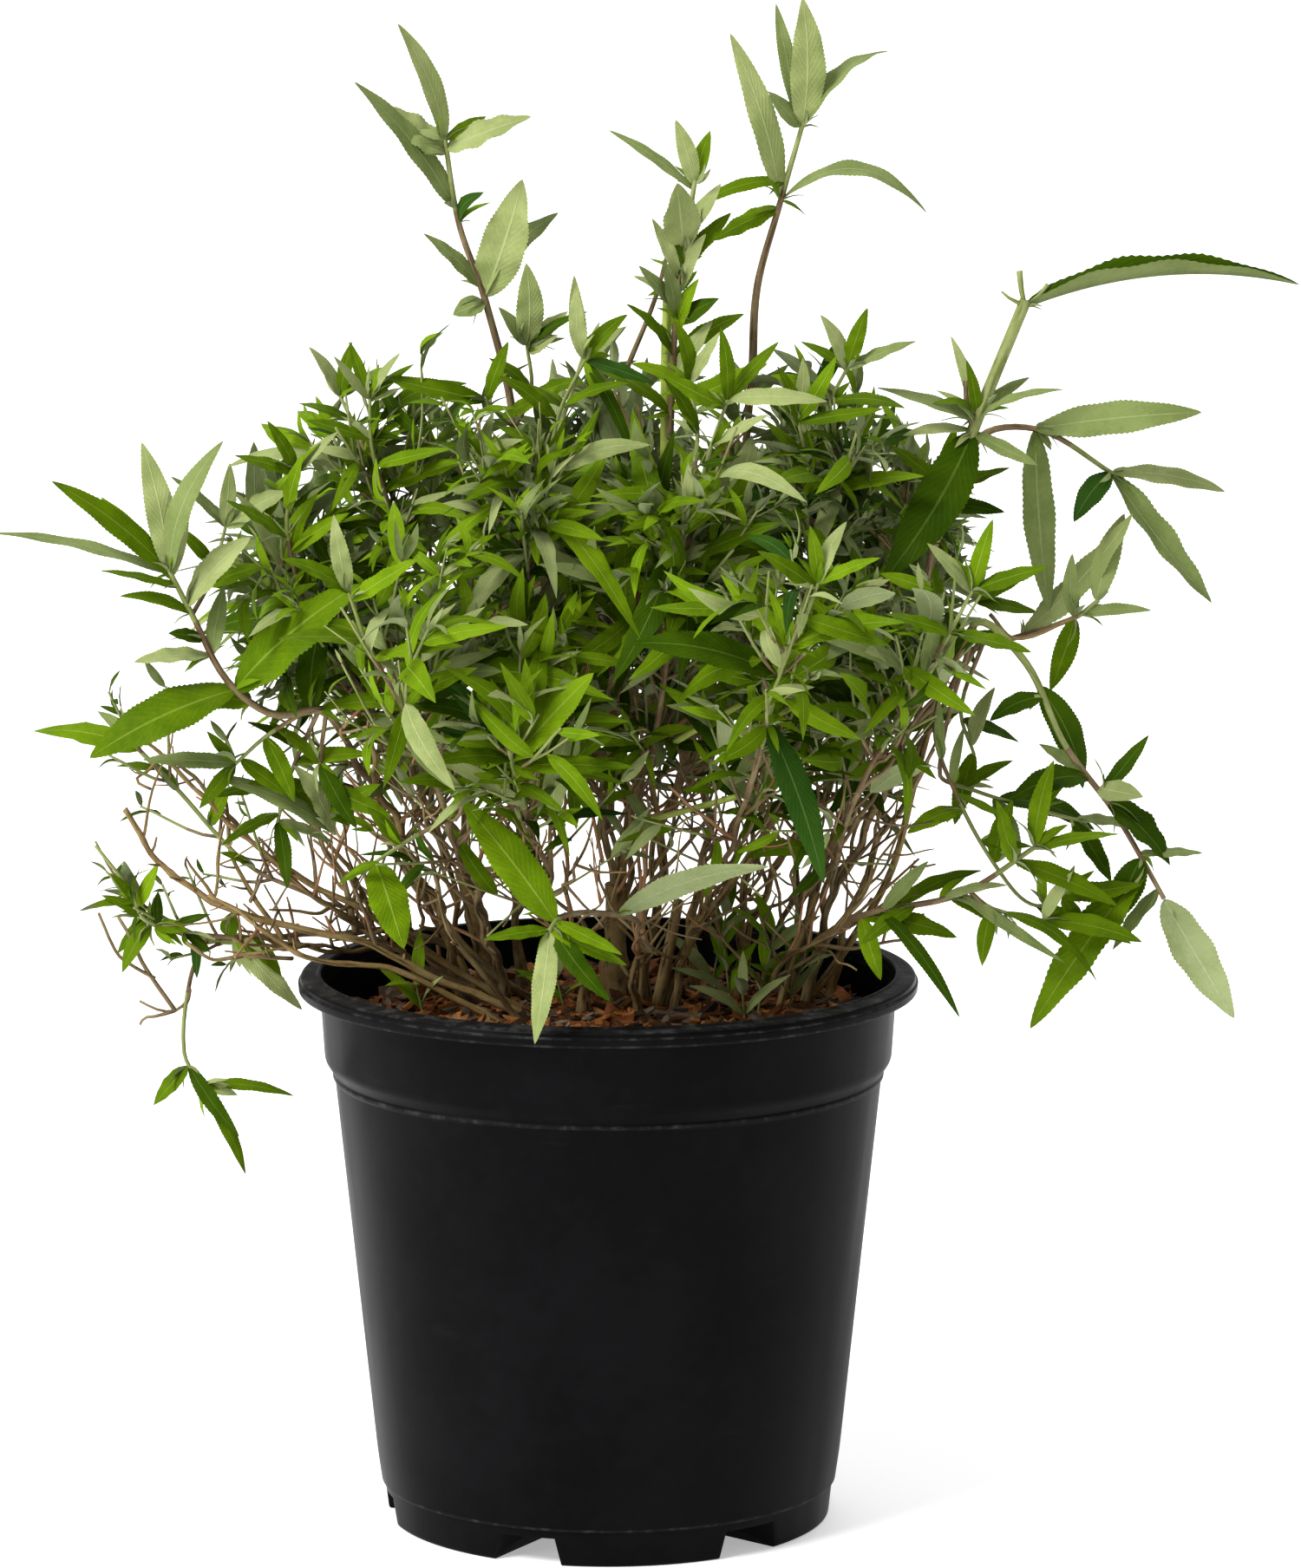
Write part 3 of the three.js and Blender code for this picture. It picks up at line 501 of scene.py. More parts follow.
@dataclass(frozen=True)
class PotPlastic:
    """Blow-moulded black plastic: satin, with flow marks, faint scuffs, a dusting with painted sheen on its
    ledges, and painted highlight bands.
    """

    name: str = "black_pot_plastic"
    colour: Colour = (0.0024, 0.0025, 0.0028)
    worn: Colour = (0.0044, 0.0045, 0.005)
    # one pale colour for the dusting, for painted sheen and for the painted highlight bands
    dust: Colour = (0.056, 0.055, 0.054)
    # painted highlights: height and reach of thin pale bands at the step bead, the rim and the foot ridge
    worn_lines: tuple = ((206.0, 1.3), (245.4, 0.9), (249.0, 0.7), (17.3, 0.9))

    def material(self, groups: Groups) -> Material:
        """Builds the material."""
        material, sketch, surface = new_material(self.name, 0.42, 0.03)
        place = sketch.place()
        tone = sketch.group(groups.mottle, Place=place, Scale=14.0)
        flow = sketch.speckle(sketch.stretched(place, (26.0, 26.0, 3.0)), 1.0, 4.0, 0.6)
        scuffs = sketch.speckle(sketch.stretched(place, (14.0, 14.0, 90.0)), 1.0, 5.0, 0.7)
        plain = sketch.mixed(tone.outputs["Tone"], opaque(self.colour), opaque(self.worn))
        facing = sketch.node("ShaderNodeSeparateXYZ")
        sketch.feed(facing.inputs[0], sketch.node("ShaderNodeNewGeometry").outputs["Normal"])
        # upward faces are paler: partly a dusting, partly painted sheen
        ledge = sketch.ranged(facing.outputs[2], 0.4, 0.95, 0.0, 0.8)
        specks = sketch.ranged(tone.outputs["Grain"], 0.45, 0.7, 0.15, 1.0)
        scuffed = sketch.ranged(scuffs, 0.62, 0.78, 0.0, 0.06)
        share = sketch.larger(sketch.times(ledge, specks), scuffed)
        level = sketch.node("ShaderNodeSeparateXYZ")
        sketch.feed(level.inputs[0], place)
        # thin painted highlight bands round the pot at set heights
        for height_mm, reach_mm in self.worn_lines:
            away = sketch.maths("ABSOLUTE", sketch.minus(level.outputs[2], height_mm * MM))
            line = sketch.ranged(away, 0.3 * reach_mm * MM, reach_mm * MM, 0.5, 0.0)
            share = sketch.larger(share, sketch.times(line, specks))
        sketch.feed(surface.inputs["Base Color"], sketch.mixed(share, plain, opaque(self.dust)))
        sketch.feed(surface.inputs["Roughness"], sketch.ranged(flow, 0.3, 0.7, 0.32, 0.45))
        height = sketch.plus(flow, sketch.times(tone.outputs["Grain"], 0.15))
        add_bump(sketch, surface, height, 0.18, 0.5)
        return material


class Tone(Enum):
    """How a leaf looks from the front: its upper face in one of several greens, one a grey-green that is
    partly painted sheen and painted shade, or its felted underside.
    """

    BRIGHT = 0
    MID = 1
    DEEP = 2
    TEAL = 3
    PALE = 4
    UNDER = 5
    SILVER = 6


BRIGHT, MID, DEEP, TEAL, PALE, UNDER, SILVER = Tone

LEAF_FINISHES = (
    LeafFinish("leaf_bright", (0.152, 0.255, 0.004), (0.1, 0.185, 0.0025), (0.28, 0.38, 0.05)),
    LeafFinish("leaf_mid", (0.094, 0.165, 0.0018), (0.06, 0.115, 0.0012), (0.19, 0.27, 0.03)),
    LeafFinish("leaf_deep", (0.038, 0.077, 0.0012), (0.024, 0.056, 0.0008), (0.1, 0.17, 0.022)),
    LeafFinish("leaf_teal", (0.027, 0.072, 0.007), (0.018, 0.054, 0.005), (0.09, 0.16, 0.035)),
    LeafFinish("leaf_pale", (0.31, 0.36, 0.132), (0.225, 0.275, 0.087), (0.42, 0.46, 0.21),
               0.68, 0.06, 0.04),
    # grey-green with painted sheen and painted shade: a paler, greyer face for soft shine on leaf tops and
    # for hanging leaves seen in shade
    LeafFinish("leaf_silver", (0.2, 0.252, 0.078), (0.14, 0.187, 0.05), (0.31, 0.36, 0.145),
               0.6, 0.06, 0.03),
    LeafFinish("leaf_underside", (0.3, 0.35, 0.158), (0.225, 0.272, 0.108), (0.4, 0.445, 0.24),
               0.8, 0.05, 0.06, 0.7),
    LeafFinish("leaf_underside_dull", (0.185, 0.228, 0.075), (0.13, 0.17, 0.05), (0.27, 0.31, 0.13),
               0.8, 0.05, 0.04, 0.7),
)
UNDER_SIDE, DULL_UNDER_SIDE = 6, 7

# The finish of each tone's upper side and of its underside.
LEAF_SIDES = {
    BRIGHT: (0, UNDER_SIDE), MID: (1, UNDER_SIDE), DEEP: (2, DULL_UNDER_SIDE), TEAL: (3, DULL_UNDER_SIDE),
    PALE: (4, UNDER_SIDE), UNDER: (1, UNDER_SIDE), SILVER: (5, DULL_UNDER_SIDE),
}


class Wood(Enum):
    """The kinds of stem, from a growing tip down to the foot."""

    GREEN = 0
    PURPLE = 1
    TAN = 2
    DEAD = 3
    CUT = 4
    GREY = 5


GREEN, PURPLE, TAN, DEAD, CUT, GREY = Wood

STEM_FINISHES = (
    BarkFinish("stem_green", (0.19, 0.225, 0.058), (0.125, 0.16, 0.036), (0.28, 0.31, 0.115), 0.7, 0.2),
    BarkFinish("stem_purple", (0.155, 0.098, 0.047), (0.07, 0.042, 0.018), (0.25, 0.19, 0.095), 0.75, 0.3),
    BarkFinish("bark_tan", (0.185, 0.117, 0.038), (0.055, 0.031, 0.009), (0.31, 0.22, 0.09)),
    BarkFinish("twig_dead", (0.3, 0.14, 0.058), (0.12, 0.05, 0.022), (0.38, 0.22, 0.11), 0.85, 0.5),
    BarkFinish("stem_cut_green", (0.36, 0.46, 0.06), (0.22, 0.33, 0.035), (0.45, 0.5, 0.12), 0.6, 0.2),
    BarkFinish("bark_grey", (0.135, 0.09, 0.037), (0.036, 0.022, 0.008), (0.26, 0.19, 0.09)),
)


# ---- meshes from arrays

@dataclass
class Arrays:
    """Vertices, triangles and their map, gathered for one joined mesh."""

    points: list = field(default_factory=list)
    faces: list = field(default_factory=list)
    slots: list = field(default_factory=list)
    maps: list = field(default_factory=list)
    margins: list = field(default_factory=list)
    count: int = 0

    def add(self, points: np.ndarray, faces: np.ndarray, slots: np.ndarray, maps: np.ndarray,
            margin: np.ndarray) -> None:
        """Adds a block.

        Args:
            points: (n, 3) places in millimetres.
            faces: (f, 3) indices into them.
            slots: (f,) material indices.
            maps: (f, 3, 2) map coordinates of the corners.
            margin: (n,) true where a sharp edge runs.
        """
        self.points.append(points)
        self.faces.append(faces + self.count)
        self.slots.append(slots)
        self.maps.append(maps)
        self.margins.append(margin)
        self.count += len(points)

    def piece(self, name: str, map_name: str, materials: Sequence[Material]) -> Object:
        """Makes one object of all blocks, smooth except along the margins.

        Args:
            name: the object's name.
            map_name: the name of its map.
            materials: its material slots.

        Returns:
            The object.
        """
        points = np.concatenate(self.points) * MM
        faces = np.concatenate(self.faces).astype(np.int32)
        mesh = bpy.data.meshes.new(name)
        mesh.vertices.add(len(points))
        mesh.vertices.foreach_set("co", points.astype(np.float32).ravel())
        mesh.loops.add(3 * len(faces))
        mesh.polygons.add(len(faces))
        mesh.polygons.foreach_set("loop_start", np.arange(0, 3 * len(faces), 3, dtype=np.int32))
        mesh.polygons.foreach_set("vertices", faces.ravel())
        mesh.polygons.foreach_set("material_index", np.concatenate(self.slots).astype(np.int32))
        layer = mesh.uv_layers.new(name=map_name)
        layer.data.foreach_set("uv", np.concatenate(self.maps).astype(np.float32).ravel())
        mesh.update(calc_edges=True)
        mesh.shade_smooth()
        margin = np.concatenate(self.margins)
        ends = np.zeros(2 * len(mesh.edges), np.int32)
        mesh.edges.foreach_get("vertices", ends)
        sharp = margin[ends[0::2]] & margin[ends[1::2]]
        mesh.attributes.new("sharp_edge", "BOOLEAN", "EDGE").data.foreach_set("value", sharp)
        return new_object(name, mesh, materials)


def new_object(name: str, mesh: Mesh, materials: Sequence[Material]) -> Object:
    """Links a mesh as an object at the origin with its materials."""
    made = bpy.data.objects.new(name, mesh)
    bpy.context.scene.collection.objects.link(made)
    for material in materials:
        mesh.materials.append(material)
    return made


def tube(run: Run, steps: int, sides: int, radius_at: Callable[[np.ndarray], np.ndarray],
         foot: np.ndarray | None = None) -> tuple[np.ndarray, np.ndarray]:
    """The rings of a tapering tube along a run.

    Args:
        run: what it follows.
        steps: stretches along it.
        sides: corners of a ring.
        radius_at: the radii at an array of shares.
        foot: the direction that the first ring is square to.

    Returns:
        (steps + 1, sides, 3) ring corners and (steps + 1, 3) ring centres.
    """
    shares = np.linspace(0, 1, steps + 1)
    centres = run.points(shares)
    tangents = run.directions(shares)
    if foot is not None:
        tangents[0] = foot
    side = np.array((1.0, 0.0, 0.0))
    angles = np.linspace(0, 2 * math.pi, sides, endpoint=False)
    radii = np.asarray(radius_at(shares)).reshape(steps + 1, -1, 1) * np.ones((1, sides, 1))
    rings = np.empty((steps + 1, sides, 3))
    for i, tangent in enumerate(tangents):
        side = square_to(side, tangent)
        across = np.cross(tangent, side)
        round_it = np.cos(angles)[:, None] * side + np.sin(angles)[:, None] * across
        rings[i] = centres[i] + radii[i] * round_it
    return rings, centres


@dataclass
class Stems:
    """Round stems of all ages, joined into one mesh."""

    name: str
    arrays: Arrays = field(default_factory=Arrays)

    def add(self, run: Run, girth: Sequence[float], wood: Wood, sides: int = 5, step: float = 7.0,
            upper: Wood | None = None, change: float = 0.5, foot: np.ndarray | None = None,
            radius_at: Callable[[np.ndarray], np.ndarray] | None = None) -> None:
        """Adds one stem.

        Args:
            run: what it follows.
            girth: its radius at the foot and at the tip.
            wood: its finish.
            sides: corners of a ring.
            step: millimetres between rings.
            upper: the finish past the change, if another.
            change: where that finish begins.
            foot: the direction that the foot's ring is square to.
            radius_at: radii in place of an even taper.
        """
        length = run.length()
        steps = max(2, round(length / step))
        taper = radius_at or (lambda shares: girth[0] + (girth[1] - girth[0]) * shares)
        rings, centres = tube(run, steps, sides, taper, foot)
        points = np.vstack((rings.reshape(-1, 3), centres[:1], centres[-1:]))
        ring = np.arange(sides)
        after = (ring + 1) % sides
        low = (np.arange(steps) * sides)[:, None]
        a, b, c, d = low + ring, low + after, low + sides + after, low + sides + ring
        body = np.stack((np.stack((a, b, c), -1), np.stack((a, c, d), -1)), 2).reshape(-1, 3)
        first, last = steps * sides + sides, steps * sides + sides + 1
        ends = np.vstack((
            np.stack((after, ring, np.full(sides, first)), -1),
            np.stack((ring + steps * sides, after + steps * sides, np.full(sides, last)), -1),
        ))
        lows = np.arange(steps)[:, None] * length / steps
        near, far, below, above = np.broadcast_arrays(ring / sides, (ring + 1) / sides, lows,
                                                      lows + length / steps)
        corners = [np.stack(pair, -1) for pair in ((near, below), (far, below), (far, above), (near, above))]
        halves = [np.stack([corners[k] for k in half], 2) for half in ((0, 1, 2), (0, 2, 3))]
        body_map = np.stack(halves, 2).reshape(-1, 3, 2)
        end_map = np.zeros((2 * sides, 3, 2))
        share = (np.repeat(np.arange(steps), 2 * sides) + 0.5) / steps
        slots = np.where(share > change, (upper or wood).value, wood.value)
        end_slots = np.repeat((wood.value, (upper or wood).value), sides)
        self.arrays.add(points, np.vstack((body, ends)), np.concatenate((slots, end_slots)),
                        np.vstack((body_map, end_map)), np.zeros(len(points), bool))

    def piece(self, materials: Sequence[Material]) -> Object:
        """Makes the joined object."""
        return self.arrays.piece(self.name, "stem", materials)


class Detail(Enum):
    """How finely a leaf is made: stretches along it, strips across it, and how deep its teeth are."""

    LARGE = (62, 4, 0.036)
    FINE = (36, 4, 0.036)
    MEDIUM = (11, 4, 0.03)
    PLAIN = (8, 4, 0.0)
    SMALL = (6, 2, 0.0)


@dataclass(frozen=True)
class LeafRow:
    """One leaf, ready to be made."""

    root: np.ndarray
    along: np.ndarray
    normal: np.ndarray
    length: float
    width: float
    tone: Tone
    arch: float = 0.33
    droop: float = 0.39
    fold: float = 0.3
    twist: float = 0.0
    sickle: float = 0.0
    wave: float = 0.05


@dataclass
class Leaves:
    """Lance-shaped leaves, joined into one mesh. Each is a thin closed blade with its own outline."""

    name: str
    rows: dict[Detail, list[LeafRow]] = field(default_factory=lambda: {detail: [] for detail in Detail})

    WIDEST = 0.43
    SHARPNESS = 0.7
    STALK = 0.055
    THICKNESS = 0.32
    KEEL = 0.55
    CURL = 0.22
    RIPPLES = 21.0
    TWIST_FROM = 0.3

    def add(self, row: LeafRow, detail: Detail) -> None:
        """Adds one leaf."""
        self.rows[detail].append(row)

    def outline(self, stations: int, teeth: float) -> tuple[np.ndarray, np.ndarray]:
        """The inner stations along a leaf and its half width at each, as shares."""
        s = np.linspace(0, 1, stations + 1)[1:-1] ** 0.96
        power = math.log(0.5) / math.log(self.WIDEST)
        half = np.sin(math.pi * s**power) ** self.SHARPNESS * (1 - 0.16 * s**5)
        toothed = 1 + teeth * np.where(np.arange(len(s)) % 2, 1.0, -1.0)
        return s, np.maximum(half * toothed, self.STALK)

    def blade(self, rows: Sequence[LeafRow], detail: Detail) -> None:
        """Adds the arrays of all leaves of one detail."""
        stations, strips, teeth = detail.value
        s, half = self.outline(stations, teeth)
        u = np.linspace(-1, 1, strips + 1)
        root, along, normal, length, width, arch, droop, fold, twist, sickle, wave = (
            np.array([getattr(row, given.name) for row in rows], float)
            for given in fields(LeafRow) if given.name != "tone"
        )
        across = np.cross(normal, along)
        reach = length[:, None]
        rise = reach * (arch[:, None] * s - droop[:, None] * s**2)
        aside = reach * sickle[:, None] * s * (1 - s)
        spine = (root[:, None] + along[:, None] * (reach * s)[..., None]
                 + normal[:, None] * rise[..., None] + across[:, None] * aside[..., None])
        wide = half[None] * width[:, None] / 2
        roll = twist[:, None] * (s - self.TWIST_FROM)
        side = across[:, None] * np.cos(roll)[..., None] + normal[:, None] * np.sin(roll)[..., None]
        face = normal[:, None] * np.cos(roll)[..., None] - across[:, None] * np.sin(roll)[..., None]
        phase = s[None, :, None] * self.RIPPLES + u * 2.0 + length[:, None, None]
        ripple = wave[:, None, None] * np.sin(phase)
        lift = np.sin(fold)[:, None, None] * np.abs(u) - self.CURL * np.abs(u) ** 3 + ripple * np.abs(u)
        out = np.cos(fold)[:, None, None] * u
        top = (spine[:, :, None] + side[:, :, None] * (wide[..., None] * out)[..., None]
               + face[:, :, None] * (wide[..., None] * lift)[..., None])
        inner = slice(1, strips)
        thick = self.THICKNESS + self.KEEL * (1 - np.abs(u[inner])) ** 2 * (1 - s[:, None])
        under = top[:, :, inner] - face[:, :, None] * thick[None, ..., None]
        tip = spine[:, -1] + (spine[:, -1] - spine[:, -2]) * 1.1
        points = np.concatenate((top.reshape(len(rows), -1, 3), under.reshape(len(rows), -1, 3),
                                 root[:, None], tip[:, None]), 1)
        self.join(points, rows, s, u)

    def join(self, points: np.ndarray, rows: Sequence[LeafRow], s: np.ndarray, u: np.ndarray) -> None:
        """Joins the points of leaves of one detail with triangles.

        Args:
            points: (leaves, points, 3).
            rows: the leaves.
            s: the inner stations along a leaf.
            u: the places across it.
        """
        n, m = len(s), len(u)
        upper = np.arange(n * m).reshape(n, m)
        lower = upper.copy()
        lower[:, 1:-1] = n * m + np.arange(n * (m - 2)).reshape(n, m - 2)
        base, tip = points.shape[1] - 2, points.shape[1] - 1

        def sheet(grid: np.ndarray, flip: bool) -> np.ndarray:
            """The triangles of one side of the leaf."""
            a, b, c, d = grid[:-1, :-1], grid[:-1, 1:], grid[1:, 1:], grid[1:, :-1]
            halves = (np.stack((a, b, c), -1), np.stack((a, c, d), -1))
            quads = np.concatenate([half.reshape(-1, 3) for half in halves])
            root = np.stack((np.full(m - 1, base), grid[0, 1:], grid[0, :-1]), -1)
            point = np.stack((grid[-1, :-1], grid[-1, 1:], np.full(m - 1, tip)), -1)
            whole = np.concatenate((quads, root, point))
            return whole[:, ::-1] if flip else whole

        faces = np.concatenate((sheet(upper, False), sheet(lower, True)))
        sides = np.repeat((0, 1), len(faces) // 2)
        chart = np.zeros((points.shape[1], 2))
        spread = np.stack(np.broadcast_arrays((u + 1) / 2, s[:, None]), -1)
        chart[: n * m] = spread.reshape(-1, 2)
        chart[n * m: base] = spread[:, 1:-1].reshape(-1, 2)
        chart[base], chart[tip] = (0.5, 0.0), (0.5, 1.0)
        margin = np.zeros(points.shape[1], bool)
        margin[upper[:, (0, -1)].ravel()] = True
        margin[[base, tip]] = True
        count = len(rows)
        each = np.array([LEAF_SIDES[row.tone] for row in rows])
        offset = (np.arange(count) * points.shape[1])[:, None, None]
        self.arrays.add(points.reshape(-1, 3), (faces[None] + offset).reshape(-1, 3), each[:, sides].ravel(),
                        np.tile(chart[faces], (count, 1, 1)), np.tile(margin, count))

    def piece(self, materials: Sequence[Material]) -> Object:
        """Makes the joined object."""
        self.arrays = Arrays()
        for detail, rows in self.rows.items():
            if rows:
                self.blade(rows, detail)
        return self.arrays.piece(self.name, "leaf", materials)


# ---- the plant's shoots

@dataclass(frozen=True)
class SideShoot:
    """One more stem that leaves a leafy stem."""

    at: float
    to: tuple
    leaves: tuple


@dataclass(frozen=True)
class Shoot:
    """A bare limb and the leafy stem that grows on from it.

    foot: where the limb stands on the mix, or the forked stem that carries it.
    joint: where the leaves begin. to: the places that the leafy stem runs through.
    girth: the radius at the foot and at the joint.
    leaves: (place along the leafy stem, lean, toward, length, width, tone), and for some leaves their
    droop, fold and tilt.
    nodes, spread: how many pairs of twigs the rule grows, and how far. bare: without leaves.
    cut: its tip is cut off. green: how far up it is green, before it turns purple.
    """

    name: str
    foot: tuple | str
    joint: tuple
    to: tuple
    girth: tuple
    leaves: tuple = ()
    nodes: int = 0
    spread: float = 0.0
    bare: bool = False
    cut: bool = False
    green: float = 0.0


@dataclass(frozen=True)
class Fork:
    """A short thick stem that forks."""

    name: str
    foot: tuple
    tip: tuple
    girth: tuple


FORKS = (
    Fork("stem_left", (-54, 52), (-66, 40, 292), (4.8, 4.6)),
    Fork("stem_centre", (2, 33), (4, 24, 288), (5.2, 5.0)),
)

